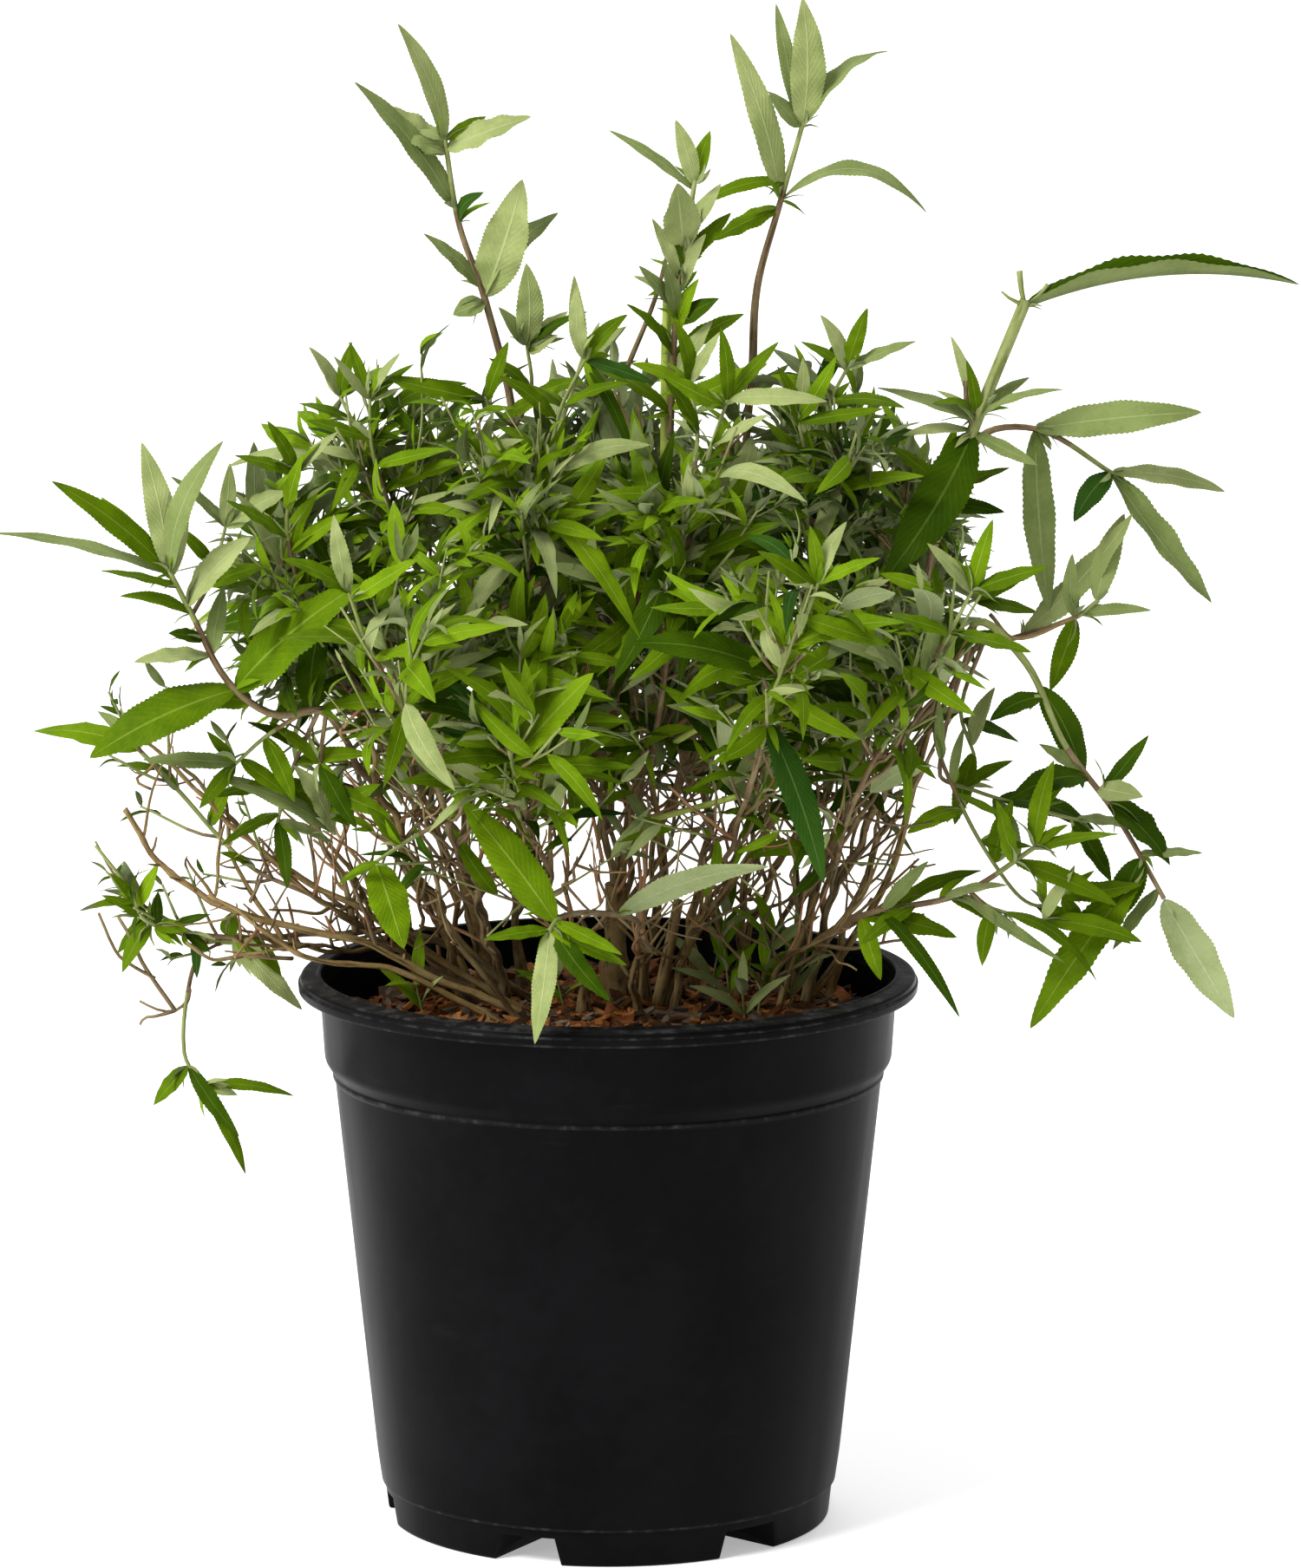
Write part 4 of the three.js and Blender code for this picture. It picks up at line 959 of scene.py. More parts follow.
SHOOTS = (
    Shoot("upper_left", (-42, 42), (-42, -8, 500), ((-54, -18, 559), (-66, -26, 596), (-72, -30, 635)),
          (2.6, 1.9), leaves=(
        (0.98, -21, 10, 57, 12, PALE, 0.2), (0.72, -37, 15, 75, 14, SILVER, 0.12),
        (0.93, -54, 5, 36, 17, PALE, 0.15), (0.99, -74, 10, 13, 5, PALE), (0.98, 62, -30, 23, 7, MID, 0.5),
        (0.95, 68, 15, 42, 20, PALE), (0.66, 40, 20, 20, 9, TEAL, 0.9), (0.4, -45, 20, 38, 8, SILVER),
        (0.36, 18, 10, 57, 22, PALE), (0.44, 52, -20, 48, 14, SILVER), (0.34, -110, 15, 16, 12, SILVER))),
    Shoot("top_centre", (16, 40), (64, 10, 512), ((67, 10, 562), (77, 10, 600), (88, 8, 639)), (2.8, 2.1),
          leaves=(
        (0.98, 0, 5, 57, 17, PALE), (0.97, -12, -12, 57, 9, SILVER), (0.97, 51, -20, 54, 11, SILVER, 0.8),
        (0.97, -42, 15, 23, 10, SILVER), (0.69, -17, 5, 79, 14, PALE), (0.69, 94, 5, 66, 12, SILVER, 1.1),
        (0.76, -104, 10, 44, 7, MID, 0.7), (0.66, -117, -10, 34, 11, MID), (0.97, 12, -10, 42, 8, BRIGHT))),
    Shoot("top_middle", (16, 22), (28, -15, 498), ((31, -20, 557), (39, -25, 615)), (2.0, 1.6), leaves=(
        (0.98, -16, 10, 31, 9, PALE), (0.98, 17, -10, 25, 8, BRIGHT), (0.96, -55, 0, 46, 6, SILVER),
        (0.74, -6, 30, 34, 19, PALE), (0.6, -10, 10, 26, 7, DEEP), (0.62, -25, 15, 31, 7, PALE),
        (0.66, 42, -10, 33, 9, MID), (0.45, 60, 15, 23, 11, DEEP), (0.72, 20, 10, 22, 6, PALE),
        (0.7, -12, -10, 24, 6, BRIGHT), (0.5, -40, 20, 28, 8, SILVER), (0.32, -40, 20, 34, 9, MID),
        (0.3, 58, -20, 40, 10, BRIGHT), (0.12, 62, 30, 56, 13, BRIGHT), (0.1, -60, 10, 44, 10, MID),
        (0.8, 35, 0, 26, 8, PALE), (0.56, -68, 10, 22, 8, PALE), (0.46, -12, 20, 30, 9, SILVER),
        (0.56, 24, 10, 30, 8, PALE), (0.4, 22, 10, 28, 9, BRIGHT), (0.2, 30, 10, 36, 10, PALE))),
    Shoot("right_cut", (84, 40), (154, -10, 468), ((164, -12, 502), (187, -12, 560)), (3.1, 2.9), cut=True,
          green=1.0, leaves=(
        (0.97, 86, 0, 124, 24, DEEP, 0.34, 1.2, 0.2), (0.48, -147, 25, 83, 24, DEEP),
        (0.54, -18, -20, 40, 6, PALE), (0.54, -11, 10, 28, 6, MID), (0.54, -72, 15, 50, 8, SILVER, 0.4),
        (0.55, 70, 15, 41, 6, SILVER, 0.5), (0.57, 59, -25, 29, 6, SILVER),
        (0.48, 115, 20, 34, 8, SILVER, 0.1), (0.49, -92, 20, 34, 7, PALE), (0.52, -60, 30, 26, 6, MID, 1.0),
        (0.52, -48, 10, 24, 5, PALE, 0.9))),
    Shoot("right_branch", (92, 56), (166, 14, 492), ((193, 14, 499), (229, 16, 478)), (2.4, 1.7), leaves=(
        (0.5, 83, 10, 76, 18, SILVER, 0.3), (0.5, 175, 0, 84, 16, SILVER, 0.1),
        (0.98, 142, -5, 77, 18, SILVER, 0.15, 0.7), (0.98, -141, 20, 29, 12, TEAL, 0.7),
        (0.52, 148, 10, 11, 4, SILVER), (0.98, 101, -15, 56, 12, PALE, 0.3))),
    Shoot("right_mid", (100, 34), (166, 14, 398), ((185, 12, 404), (212, 8, 414), (222, 6, 422)),
          (2.3, 1.6), leaves=(
        (0.36, 41, 5, 76, 17, PALE, -0.35), (0.97, 19, -20, 43, 12, PALE), (0.66, -4, 20, 33, 8, SILVER),
        (0.72, 84, 15, 33, 7, SILVER), (0.66, -161, 10, 35, 11, MID, 0.1))),
    Shoot("right_arching", (88, 14), (164, -20, 414),
          ((187, -25, 399), (205, -30, 362), (228, -35, 331), (250, -40, 293)), (2.6, 1.9), green=0.5,
          leaves=(
        (0.36, -112, 20, 28, 11, DEEP), (0.33, 157, -10, 53, 15, DEEP, 0.35),
        (0.13, -120, -20, 30, 7, DEEP, 0.7), (0.66, 95, 30, 23, 14, PALE),
        (0.68, 40, -10, 34, 8, DEEP, -0.4), (0.71, 134, 5, 40, 19, DEEP), (0.87, 92, -15, 30, 7, SILVER),
        (0.62, -100, 25, 40, 15, DEEP, 0.5), (0.9, -144, 10, 90, 21, MID), (1.0, 149, 0, 63, 20, UNDER),
        (0.88, -156, 20, 32, 15, DEEP), (0.97, -145, -10, 36, 8, SILVER), (0.6, -60, -15, 24, 8, SILVER))),
    Shoot("right_low", (66, 6), (110, -44, 284), ((158, -50, 297), (192, -55, 320)), (2.2, 1.6), leaves=(
        (0.98, 13, -10, 40, 10, BRIGHT), (0.97, 77, 15, 40, 9, BRIGHT), (0.99, 54, 10, 18, 6, BRIGHT),
        (0.85, 112, 10, 50, 11, MID), (0.84, -15, 20, 33, 10, BRIGHT), (0.2, 70, -20, 46, 9, MID),
        (0.45, 115, 15, 42, 9, MID), (0.5, 122, 15, 56, 6, SILVER, 0.5), (0.14, 140, 20, 60, 7, DEEP, 0.9),
        (0.05, 163, 10, 30, 9, BRIGHT), (0.3, -125, 10, 30, 9, MID, 0.5), (0.4, 75, 10, 32, 6, PALE),
        (0.15, 40, 20, 34, 8, SILVER), (0.05, 100, 10, 44, 13, MID))),
    Shoot("left_big", (-66, 30), (-124, -58, 380),
          ((-148, -66, 381), (-168, -72, 397), (-183, -76, 427), (-193, -80, 448)), (2.6, 2), leaves=(
        (0.97, -76, 5, 82, 8, SILVER, 0.15), (0.98, -50, 10, 67, 13, MID, 0.2),
        (0.93, -42, -10, 50, 8, BRIGHT), (0.99, -11, 5, 59, 14, PALE, 0.2),
        (0.98, 21, 15, 67, 13, SILVER, 0.4), (0.96, 6, -25, 46, 10, PALE), (0.8, 42, 10, 43, 18, PALE),
        (0.9, -75, 20, 37, 7, MID), (0.76, -73, 20, 34, 7, MID), (0.6, -92, 15, 35, 10, PALE),
        (0.66, -75, 30, 18, 8, DEEP), (0.45, 49, 10, 76, 27, MID, 0.2), (0.45, -114, 10, 71, 26, MID, 0.4),
        (0.36, -88, -25, 38, 14, BRIGHT), (0.06, 87, 20, 55, 12, MID, 0.45), (0.1, 8, -20, 43, 15, DEEP),
        (0.6, 10, -20, 32, 9, SILVER))),
    Shoot("low_left", (-78, 42), (-130, 2, 284), ((-163, 0, 301), (-197, 0, 338), (-215, 0, 357)),
          (1.9, 1.3), nodes=2, spread=62, bare=True, leaves=(
        (0.5, 25, 10, 22, 7, MID), (0.64, -45, -10, 20, 6, MID), (0.8, -85, 10, 19, 5, MID),
        (0.3, -60, 20, 20, 6, MID))),
    Shoot("low_left_hanging", (-76, 58), (-147, 8, 266), ((-179, 5, 265), (-215, 5, 283)), (1.9, 1.3),
          nodes=2, spread=50, bare=True, leaves=(
        (0.34, 135, 15, 43, 11, PALE), (0.9, -140, 10, 25, 8, MID))),
    Shoot("front_rim", (12, 6), (14, -84, 290), ((-4, -112, 300), (-20, -132, 302), (-25, -140, 297)),
          (2, 1.5), leaves=(
        (0.2, 70, 10, 72, 13, UNDER), (0.97, -95, 15, 30, 8, MID), (0.97, -172, 14, 50, 11, PALE),
        (0.9, 140, 20, 42, 10, DEEP), (0.97, 115, 0, 37, 9, BRIGHT), (0.8, 108, 40, 40, 9, BRIGHT),
        (0.8, -38, -10, 67, 20, BRIGHT))),
    Shoot("front_left", (-48, 26), (-70, -72, 334), ((-92, -144, 408),), (2.5, 1.8), nodes=3, spread=78),
    Shoot("front_centre", (-10, 4), (-32, -84, 326), ((-42, -146, 378),), (2.4, 1.7), nodes=3, spread=70,
          leaves=(
        (0.9, 42, 10, 54, 19, BRIGHT), (0.85, 88, 20, 56, 12, MID), (0.9, -88, 20, 36, 10, MID))),
    Shoot("front_right", (30, 12), (62, -80, 346), ((78, -146, 424),), (2.4, 1.7), nodes=3, spread=76,
          leaves=(
        (0.8, -75, 15, 69, 17, DEEP), (0.97, 75, 10, 54, 15, BRIGHT), (0.5, 160, 15, 75, 15, TEAL))),
    Shoot("side_right", (78, 22), (112, -62, 346), ((140, -104, 406),), (2.3, 1.6), nodes=3, spread=66),
    Shoot("mid_left", "stem_left", (-100, -20, 366), ((-146, -44, 446),), (2.1, 1.7), nodes=4, spread=70,
          leaves=(
        (0.97, -30, 10, 40, 9, PALE), (0.97, 25, 15, 40, 10, BRIGHT))),
    Shoot("high_left", "stem_left", (-74, -20, 406), ((-104, -44, 486),), (2.1, 1.7), nodes=3, spread=74,
          leaves=(
        (0.9, 70, 15, 50, 11, BRIGHT),)),
    Shoot("high_mid_left", "stem_centre", (-26, -44, 384), ((-38, -92, 480),), (2.1, 1.7), nodes=4,
          spread=76),
    Shoot("high_mid", "stem_centre", (22, -46, 372), ((34, -98, 466),), (2.1, 1.7), nodes=4, spread=76,
          leaves=(
        (0.85, 65, 20, 52, 12, MID),)),
    Shoot("high_right", (58, 34), (84, -16, 406), ((104, -42, 486),), (2.4, 1.7), nodes=4, spread=74,
          leaves=(
        (0.9, 80, 10, 40, 9, BRIGHT),)),
    Shoot("mid_right", (72, 52), (112, 16, 376), ((138, 36, 452),), (2.4, 1.7), nodes=4, spread=66),
    Shoot("back_left", (-66, 68), (-96, 74, 360), ((-142, 98, 414),), (2.4, 1.7), nodes=3, spread=76),
    Shoot("back_mid_left", (-40, 70), (-46, 82, 368), ((-70, 126, 450),), (2.5, 1.8), nodes=3, spread=80),
    Shoot("back_mid", (4, 64), (12, 104, 356), ((16, 172, 420),), (2.4, 1.7), nodes=3, spread=80),
    Shoot("back_mid_right", (38, 62), (52, 78, 368), ((74, 120, 448),), (2.5, 1.8), nodes=3, spread=80),
    Shoot("back_right", (62, 72), (104, 82, 356), ((146, 114, 414),), (2.4, 1.7), nodes=3, spread=76),
    Shoot("top_back", "stem_centre", (0, 30, 392), ((-6, 46, 486),), (2.1, 1.7), nodes=4, spread=76),
)

# Which masses of foliage make one piece.
REGIONS = {
    "leaves_top": ("upper_left", "top_centre", "top_middle", "right_cut", "right_branch"),
    "leaves_right": ("right_mid", "right_arching", "right_low", "side_right", "mid_right"),
    "leaves_left": ("left_big", "low_left", "low_left_hanging", "mid_left", "high_left"),
    "leaves_front": ("front_rim", "front_left", "front_centre", "front_right"),
    "leaves_middle": ("high_mid_left", "high_mid", "high_right", "top_back"),
    "leaves_back": ("back_left", "back_mid_left", "back_mid", "back_mid_right", "back_right"),
}


@dataclass(frozen=True)
class LooseTwig:
    """A thin twig at a place of its own: dead, cut or bare."""

    through: tuple
    girth: tuple
    wood: Wood


LOOSE_TWIGS = tuple(LooseTwig(*given) for given in (
    (((-3, -60, 429), (-7, -75, 414), (-11, -80, 396), (-24, -85, 381)), (1.0, 0.6), DEAD),
    (((-27, -50, 439), (-53, -66, 422), (-66, -72, 398), (-81, -78, 377), (-86, -80, 361)), (1.1, 0.5),
      DEAD),
    (((18, -55, 444), (4, -70, 410)), (1.0, 0.8), DEAD),
    (((-11, -70, 358), (-2, -60, 313)), (0.7, 1.0), DEAD),
    (((77, 0, 231), (84, -12, 262), (95, -20, 292)), (1.8, 1.4), TAN),
    (((26, -10, 490), (26, -12, 531), (27, -14, 566)), (2.6, 2.3), CUT),
    (((9, -10, 530), (21, -14, 560), (27, -16, 582)), (1.3, 0.9), PURPLE),
    (((165, -12, 498), (161, -14, 512), (160, -14, 524)), (1.3, 1.1), GREY),
    (((20, -50, 331), (66, -70, 347)), (1.5, 1.4), CUT),
    (((30, -50, 366), (68, -75, 392)), (1.5, 1.3), CUT),
    (((48, -50, 364), (81, -75, 385)), (1.4, 1.2), CUT),
    (((187, -12, 556), (185, -12, 564), (184, -12, 573)), (1.0, 1.5), GREEN),
    (((187, -12, 557), (193, -12, 562), (197, -12, 567)), (1.0, 1.3), GREEN),
    (((187, -12, 558), (181, -14, 560), (176, -14, 564)), (1.2, 0.5), GREEN),
    (((-212, 0, 284), (-224, -6, 298), (-232, -10, 314)), (0.7, 0.5), PURPLE),
    (((-197, -6, 235), (-211, -6, 256), (-216, -8, 268), (-222, -10, 279)), (1.1, 0.8), PURPLE),
    (((-206, -6, 250), (-216, -7, 256), (-223, -8, 262), (-231, -10, 281)), (0.9, 0.7), GREY),
    (((-191, -6, 240), (-197, -6, 235), (-205, -8, 236), (-213, -8, 240)), (0.8, 0.6), PURPLE),
    (((-197, -6, 235), (-205, -8, 233), (-211, -8, 232), (-213, -8, 229)), (0.9, 0.6), PURPLE),
    (((-191, -6, 247), (-190, -6, 243), (-193, -6, 236)), (0.7, 0.7), PURPLE),
    (((89, 20, 231), (106, 10, 257), (128, 0, 297), (139, 0, 339), (147, 0, 370)), (2.1, 1.4), TAN),
    (((104, 2, 307), (147, -10, 374)), (0.9, 0.6), PURPLE),
    (((137, -4, 335), (153, -20, 372)), (0.8, 0.5), PURPLE),
    (((172, -10, 418), (184, -12, 407), (210, -15, 417)), (1.0, 0.7), TAN),
    (((22, 14, 231), (27, 6, 258), (32, 0, 285)), (3.2, 2.4), TAN),
    (((25, 16, 231), (36, 8, 262), (56, 0, 293), (78, -22, 330)), (2.8, 1.4), TAN),
    (((7, 0, 281), (33, -20, 311), (52, -44, 340)), (1.2, 0.8), PURPLE),
))

# Bare stems that lean out low over the rim, each with short stubs.
BARE_STEMS = tuple(LooseTwig(*given) for given in (
    (((-34, 12, 229), (-65, 6, 248), (-110, 2, 279), (-150, 0, 302), (-176, -2, 325), (-198, -4, 349),
      (-213, -6, 362)), (2.3, 0.8), TAN),
    (((-40, 20, 229), (-82, 14, 251), (-108, 10, 267), (-148, 8, 297), (-184, 6, 336), (-198, 4, 351)),
      (1.9, 0.8), GREY),
    (((-30, -6, 229), (-74, -12, 250), (-110, -14, 268), (-160, -14, 278), (-188, -15, 294),
      (-207, -16, 311), (-218, -18, 330)), (2.4, 1.2), TAN),
    (((-28, 30, 229), (-80, 24, 262), (-110, 20, 266), (-143, 16, 267), (-160, 14, 265), (-189, 10, 263)),
      (2.2, 1.1), GREY),
    (((-44, -14, 229), (-96, -20, 256), (-138, -22, 264), (-161, -24, 280), (-180, -24, 292)), (1.9, 0.9),
      TAN),
    (((-115, 4, 270), (-122, 4, 298), (-131, 2, 316), (-139, 0, 342)), (1.7, 0.9), GREY),
    (((-148, 4, 266), (-162, 2, 288), (-172, 0, 312), (-174, 0, 334)), (1.5, 0.7), TAN),
    (((-163, 2, 284), (-158, 0, 296), (-152, 0, 305), (-145, -2, 313)), (1.1, 0.6), GREY),
    (((-179, 0, 286), (-178, 0, 302), (-174, -2, 320)), (1, 0.7), TAN),
    (((-143, -20, 262), (-166, -22, 262), (-179, -24, 263), (-190, -24, 270)), (1.2, 0.8), GREY),
    (((-40, 34, 229), (-70, 40, 262), (-96, 44, 300), (-112, 46, 342)), (2, 1), TAN),
    (((-36, -20, 229), (-58, -34, 258), (-74, -44, 290), (-80, -50, 318)), (1.8, 0.9), GREY),
    (((-202, -2, 352), (-208, -4, 345), (-213, -4, 341), (-207, -4, 337)), (0.8, 0.7), TAN),
))

# Young shoots from the root: foot, lean, angle towards the front, height.
ROOT_SHOOTS = (
    (56, 6, -6, 12, 34), (68, -4, 10, 18, 44), (82, 2, 14, 14, 34), (62, -22, -4, 25, 20),
    (46, 20, 10, 0, 44), (-20, 8, -12, 15, 22), (-84, -8, -10, 18, 20),
)


@dataclass(frozen=True)
class Growth:
    """How many shoots of one kind grow, on which part of a limb, how long and how far aside."""

    count: int
    part: tuple = (0.0, 1.0)
    lengths: tuple = (0.0, 0.0)
    splay: tuple = (0.0, 0.0)
    foot: tuple = (0.0, 0.0)
    leans: tuple = (0.0, 0.0)


THICKET = Growth(10, part=(0.2, 0.94), lengths=(20, 82), splay=(26, 75))
FAN = Growth(3, lengths=(80, 125), foot=(-60, 42), leans=(-62, -28))
RISERS = Growth(4, part=(0.72, 1.7), lengths=(45, 95))

# Leafy side shoots: the limb that carries each, and the shoot.
SIDE_SHOOTS = tuple((name, SideShoot(*given)) for name, *given in (
    ("left_big", 0.02, ((-128, -54, 352), (-122, -50, 324)), (
        (0.98, -62, 10, 61, 10, SILVER), (0.98, -29, 15, 38, 12, PALE), (0.8, 60, 15, 28, 9, MID),
        (0.6, -85, 10, 34, 9, MID), (0.6, 110, 20, 36, 10, MID), (0.4, -50, 10, 30, 9, BRIGHT),
        (0.4, 150, 15, 34, 9, DEEP))),
    ("low_left_hanging", 0.55, ((-190, -4, 250), (-193, -8, 216), (-184, -10, 200)), (
        (0.78, -138, 10, 24, 10, MID), (0.78, 143, 15, 40, 8, DEEP), (0.97, 97, 0, 42, 7, MID),
        (0.97, 155, 0, 46, 7, MID, 0.2), (0.97, 104, 10, 17, 7, PALE))),
    ("front_left", 0.02, ((-88, -82, 327), (-103, -88, 318)), (
        (0.97, 161, 20, 41, 19, BRIGHT), (0.97, -120, 10, 20, 6, MID), (0.6, -40, 10, 24, 7, MID))),
    ("left_big", 0.12, ((-152, -60, 370), (-166, -58, 357)), (
        (0.97, -86, 10, 42, 9, SILVER), (0.97, -140, 10, 26, 8, MID), (0.9, 125, 10, 28, 8, MID),
        (0.5, 155, 15, 32, 9, MID), (0.97, -40, 10, 20, 6, BRIGHT))),
    ("left_big", 0.06, ((-142, -46, 350), (-148, -42, 328)), (
        (0.97, 172, 10, 31, 8, DEEP), (0.9, -118, 10, 30, 8, MID), (0.6, 122, 10, 34, 9, MID),
        (0.6, -96, 15, 34, 9, MID), (0.4, 82, 15, 36, 9, BRIGHT), (0.3, -60, 15, 28, 8, MID),
        (0.97, 110, 15, 28, 7, PALE))),
    ("left_big", 0.75, ((-176, -40, 440), (-170, -34, 462)), (
        (0.97, 60, 10, 34, 14, PALE), (0.97, 5, 10, 30, 8, PALE), (0.6, -40, 15, 26, 7, MID),
        (0.97, -45, 10, 34, 6, SILVER), (0.4, 70, 15, 30, 9, MID))),
    ("right_arching", 0.02, ((147, -24, 372), (158, -30, 336), (178, -36, 302), (192, -40, 290),
     (206, -42, 296)), (
        (0.42, -111, 15, 28, 9, BRIGHT), (0.38, 115, 10, 27, 5, BRIGHT), (0.3, -3, 10, 30, 5, SILVER),
        (0.36, 12, -10, 27, 5, SILVER), (0.56, 15, 10, 31, 11, MID), (0.85, -3, 10, 21, 5, BRIGHT),
        (0.97, 50, 10, 19, 5, BRIGHT), (0.97, 22, 0, 15, 4, PALE), (0.8, 110, 15, 47, 10, MID, 0.3),
        (0.97, 80, 10, 36, 11, MID), (0.97, 150, 15, 22, 8, MID), (0.5, 95, 10, 24, 6, MID))),
    ("right_arching", 0.02, ((150, -6, 345), (164, -10, 338), (190, -12, 330), (214, -14, 324)), (
        (0.62, 109, -10, 48, 14, DEEP, 0.3), (0.6, 160, 15, 34, 9, SILVER), (0.95, 147, 10, 34, 11, DEEP),
        (0.97, 100, -10, 30, 8, SILVER), (0.45, 60, 10, 26, 7, MID), (0.8, 40, 15, 22, 7, MID))),
    ("right_low", 0.55, ((172, -58, 292), (196, -56, 286)), (
        (0.97, 100, 15, 46, 12, MID), (0.6, 125, 10, 52, 8, MID, 0.7), (0.97, 30, 5, 26, 8, PALE),
        (0.5, -170, 10, 26, 8, MID))),
    ("right_mid", 0.1, ((160, 4, 372), (166, 0, 352)), (
        (0.97, -165, 10, 34, 10, MID), (0.9, 20, 10, 30, 9, PALE), (0.6, 110, 10, 28, 8, DEEP),
        (0.5, -110, 15, 30, 9, MID))),
    ("upper_left", 0.01, ((-34, -20, 520), (-36, -24, 542)), (
        (0.97, 0, 10, 38, 13, PALE), (0.97, 59, 10, 32, 6, DEEP), (0.9, 58, 20, 17, 9, PALE),
        (0.97, 50, -10, 24, 10, PALE), (0.97, -35, 10, 22, 8, SILVER), (0.5, -50, 20, 26, 8, MID),
        (0.4, 70, 20, 28, 9, MID))),
    ("high_mid_left", 0.9, ((-20, -50, 510), (-10, -40, 540)), (
        (0.97, -6, 10, 37, 8, PALE), (0.9, 50, -10, 26, 7, PALE), (0.6, -60, 20, 26, 8, MID))),
    ("low_left_hanging", 0.2, ((-193, -4, 271), (-211, -8, 278), (-216, -8, 290), (-232, -10, 312)), (
        (0.62, 27, 15, 25, 8, BRIGHT), (0.66, -39, 10, 18, 5, MID), (0.66, -92, 15, 20, 5, MID),
        (0.52, -59, 10, 21, 6, MID), (0.4, 0, -10, 16, 6, DEEP), (0.35, 70, 10, 22, 6, DEEP),
        (0.42, 95, 25, 17, 8, MID), (0.42, 140, 10, 11, 5, MID), (0.25, 125, 15, 16, 6, DEEP),
        (0.44, -148, 20, 26, 9, MID), (0.2, -178, 10, 20, 5, TEAL), (0.1, 10, 15, 13, 9, MID),
        (0.05, 133, 20, 25, 10, MID), (0.08, 170, 10, 14, 5, PALE))),
    ("mid_right", 0.3, ((150, 30, 412), (168, 24, 420)), (
        (0.97, 60, 10, 32, 9, BRIGHT), (0.95, 100, 10, 30, 9, MID), (0.97, 10, 10, 28, 8, PALE),
        (0.6, 150, 15, 28, 8, DEEP), (0.5, -10, 15, 30, 9, MID))),
    ("high_mid_left", 0.6, ((-22, -68, 512), (-9, -60, 540)), (
        (0.97, 153, 10, 49, 6, DEEP), (0.97, 108, 5, 32, 8, TEAL), (0.95, 43, -10, 29, 8, MID),
        (0.97, -5, 10, 35, 8, PALE), (0.6, 67, 15, 33, 8, MID), (0.5, -50, 15, 34, 8, MID))),
    ("high_mid", 0.7, ((44, -80, 496), (54, -62, 523)), (
        (0.97, 89, 15, 45, 10, PALE, 0.4), (0.97, 42, -10, 34, 7, MID), (0.95, -5, 10, 34, 7, MID),
        (0.6, 58, 20, 31, 8, PALE), (0.9, -60, 20, 34, 9, BRIGHT))),
    ("high_right", 0.75, ((90, -50, 490), (84, -52, 512)), (
        (0.95, 80, 10, 39, 7, MID), (0.97, 30, 10, 34, 8, BRIGHT), (0.9, -20, 10, 30, 7, MID),
        (0.97, 5, -10, 28, 7, PALE))),
    ("high_left", 0.85, ((-112, -40, 506), (-119, -36, 520)), (
        (0.97, -30, 10, 27, 7, PALE), (0.97, 12, 10, 26, 7, MID), (0.97, 58, 10, 28, 7, SILVER),
        (0.6, -70, 15, 26, 8, MID))),
    ("high_right", 0.92, ((98, -34, 512), (107, -30, 532)), (
        (0.97, -25, 10, 28, 8, PALE), (0.97, 18, 10, 30, 8, MID), (0.97, 66, 10, 34, 8, SILVER),
        (0.7, -72, 10, 30, 8, BRIGHT), (0.6, 92, 10, 34, 9, MID), (0.97, -60, -10, 24, 6, MID))),
    ("high_mid", 0.95, ((40, -64, 506), (36, -50, 528)), (
        (0.97, -12, 10, 30, 8, MID), (0.97, 30, 10, 28, 7, PALE), (0.9, -64, 10, 30, 8, BRIGHT),
        (0.7, 74, 15, 32, 8, SILVER), (0.5, -30, 10, 30, 8, MID))),
    ("high_left", 0.7, ((-104, -54, 498), (-105, -52, 521)), (
        (0.97, -38, 10, 26, 6, PALE), (0.97, -20, -15, 28, 6, MID), (0.97, 33, 10, 26, 6, PALE),
        (0.95, 50, -10, 26, 6, MID), (0.6, -72, 10, 30, 8, MID), (0.4, 75, 15, 36, 9, BRIGHT))),
    ("upper_left", 0.02, ((-46, -30, 508), (-54, -44, 519)), (
        (0.97, -76, 10, 49, 11, MID), (0.97, 20, 15, 30, 8, MID), (0.6, 60, 10, 30, 8, BRIGHT))),
    ("mid_left", 0.8, ((-142, -56, 466), (-136, -60, 490)), (
        (0.95, -28, 10, 28, 7, MID), (0.97, -73, 15, 30, 7, MID), (0.97, 44, 10, 26, 7, PALE),
        (0.6, 16, 20, 30, 8, BRIGHT), (0.4, -55, 20, 34, 9, MID), (0.3, 55, 15, 34, 9, BRIGHT))),
    ("front_left", 0.75, ((-104, -134, 424), (-112, -130, 446)), (
        (0.97, -10, 10, 36, 9, PALE), (0.97, -60, 15, 34, 9, MID), (0.9, 55, 20, 38, 10, BRIGHT),
        (0.5, -85, 20, 40, 11, MID), (0.4, 80, 20, 42, 11, BRIGHT))),
    ("front_right", 0.85, ((86, -148, 436), (92, -146, 452)), (
        (0.97, 65, 15, 30, 8, BRIGHT), (0.97, -8, 10, 26, 7, BRIGHT), (0.95, 25, -5, 30, 8, PALE),
        (0.5, 105, 20, 40, 11, MID), (0.9, -55, 15, 32, 9, MID))),
    ("side_right", 0.9, ((150, -110, 424), (160, -112, 444)), (
        (0.97, 70, 15, 36, 9, MID), (0.97, 15, 10, 34, 8, BRIGHT), (0.95, -40, 10, 30, 8, PALE),
        (0.5, 100, 20, 38, 10, MID), (0.5, -70, 20, 32, 9, BRIGHT))),
    ("mid_right", 0.85, ((146, 20, 462), (152, 4, 474)), (
        (0.97, 70, 15, 32, 8, MID), (0.97, 10, 10, 30, 8, BRIGHT), (0.95, -50, 10, 32, 9, MID),
        (0.6, 95, 20, 34, 9, DEEP))),
))

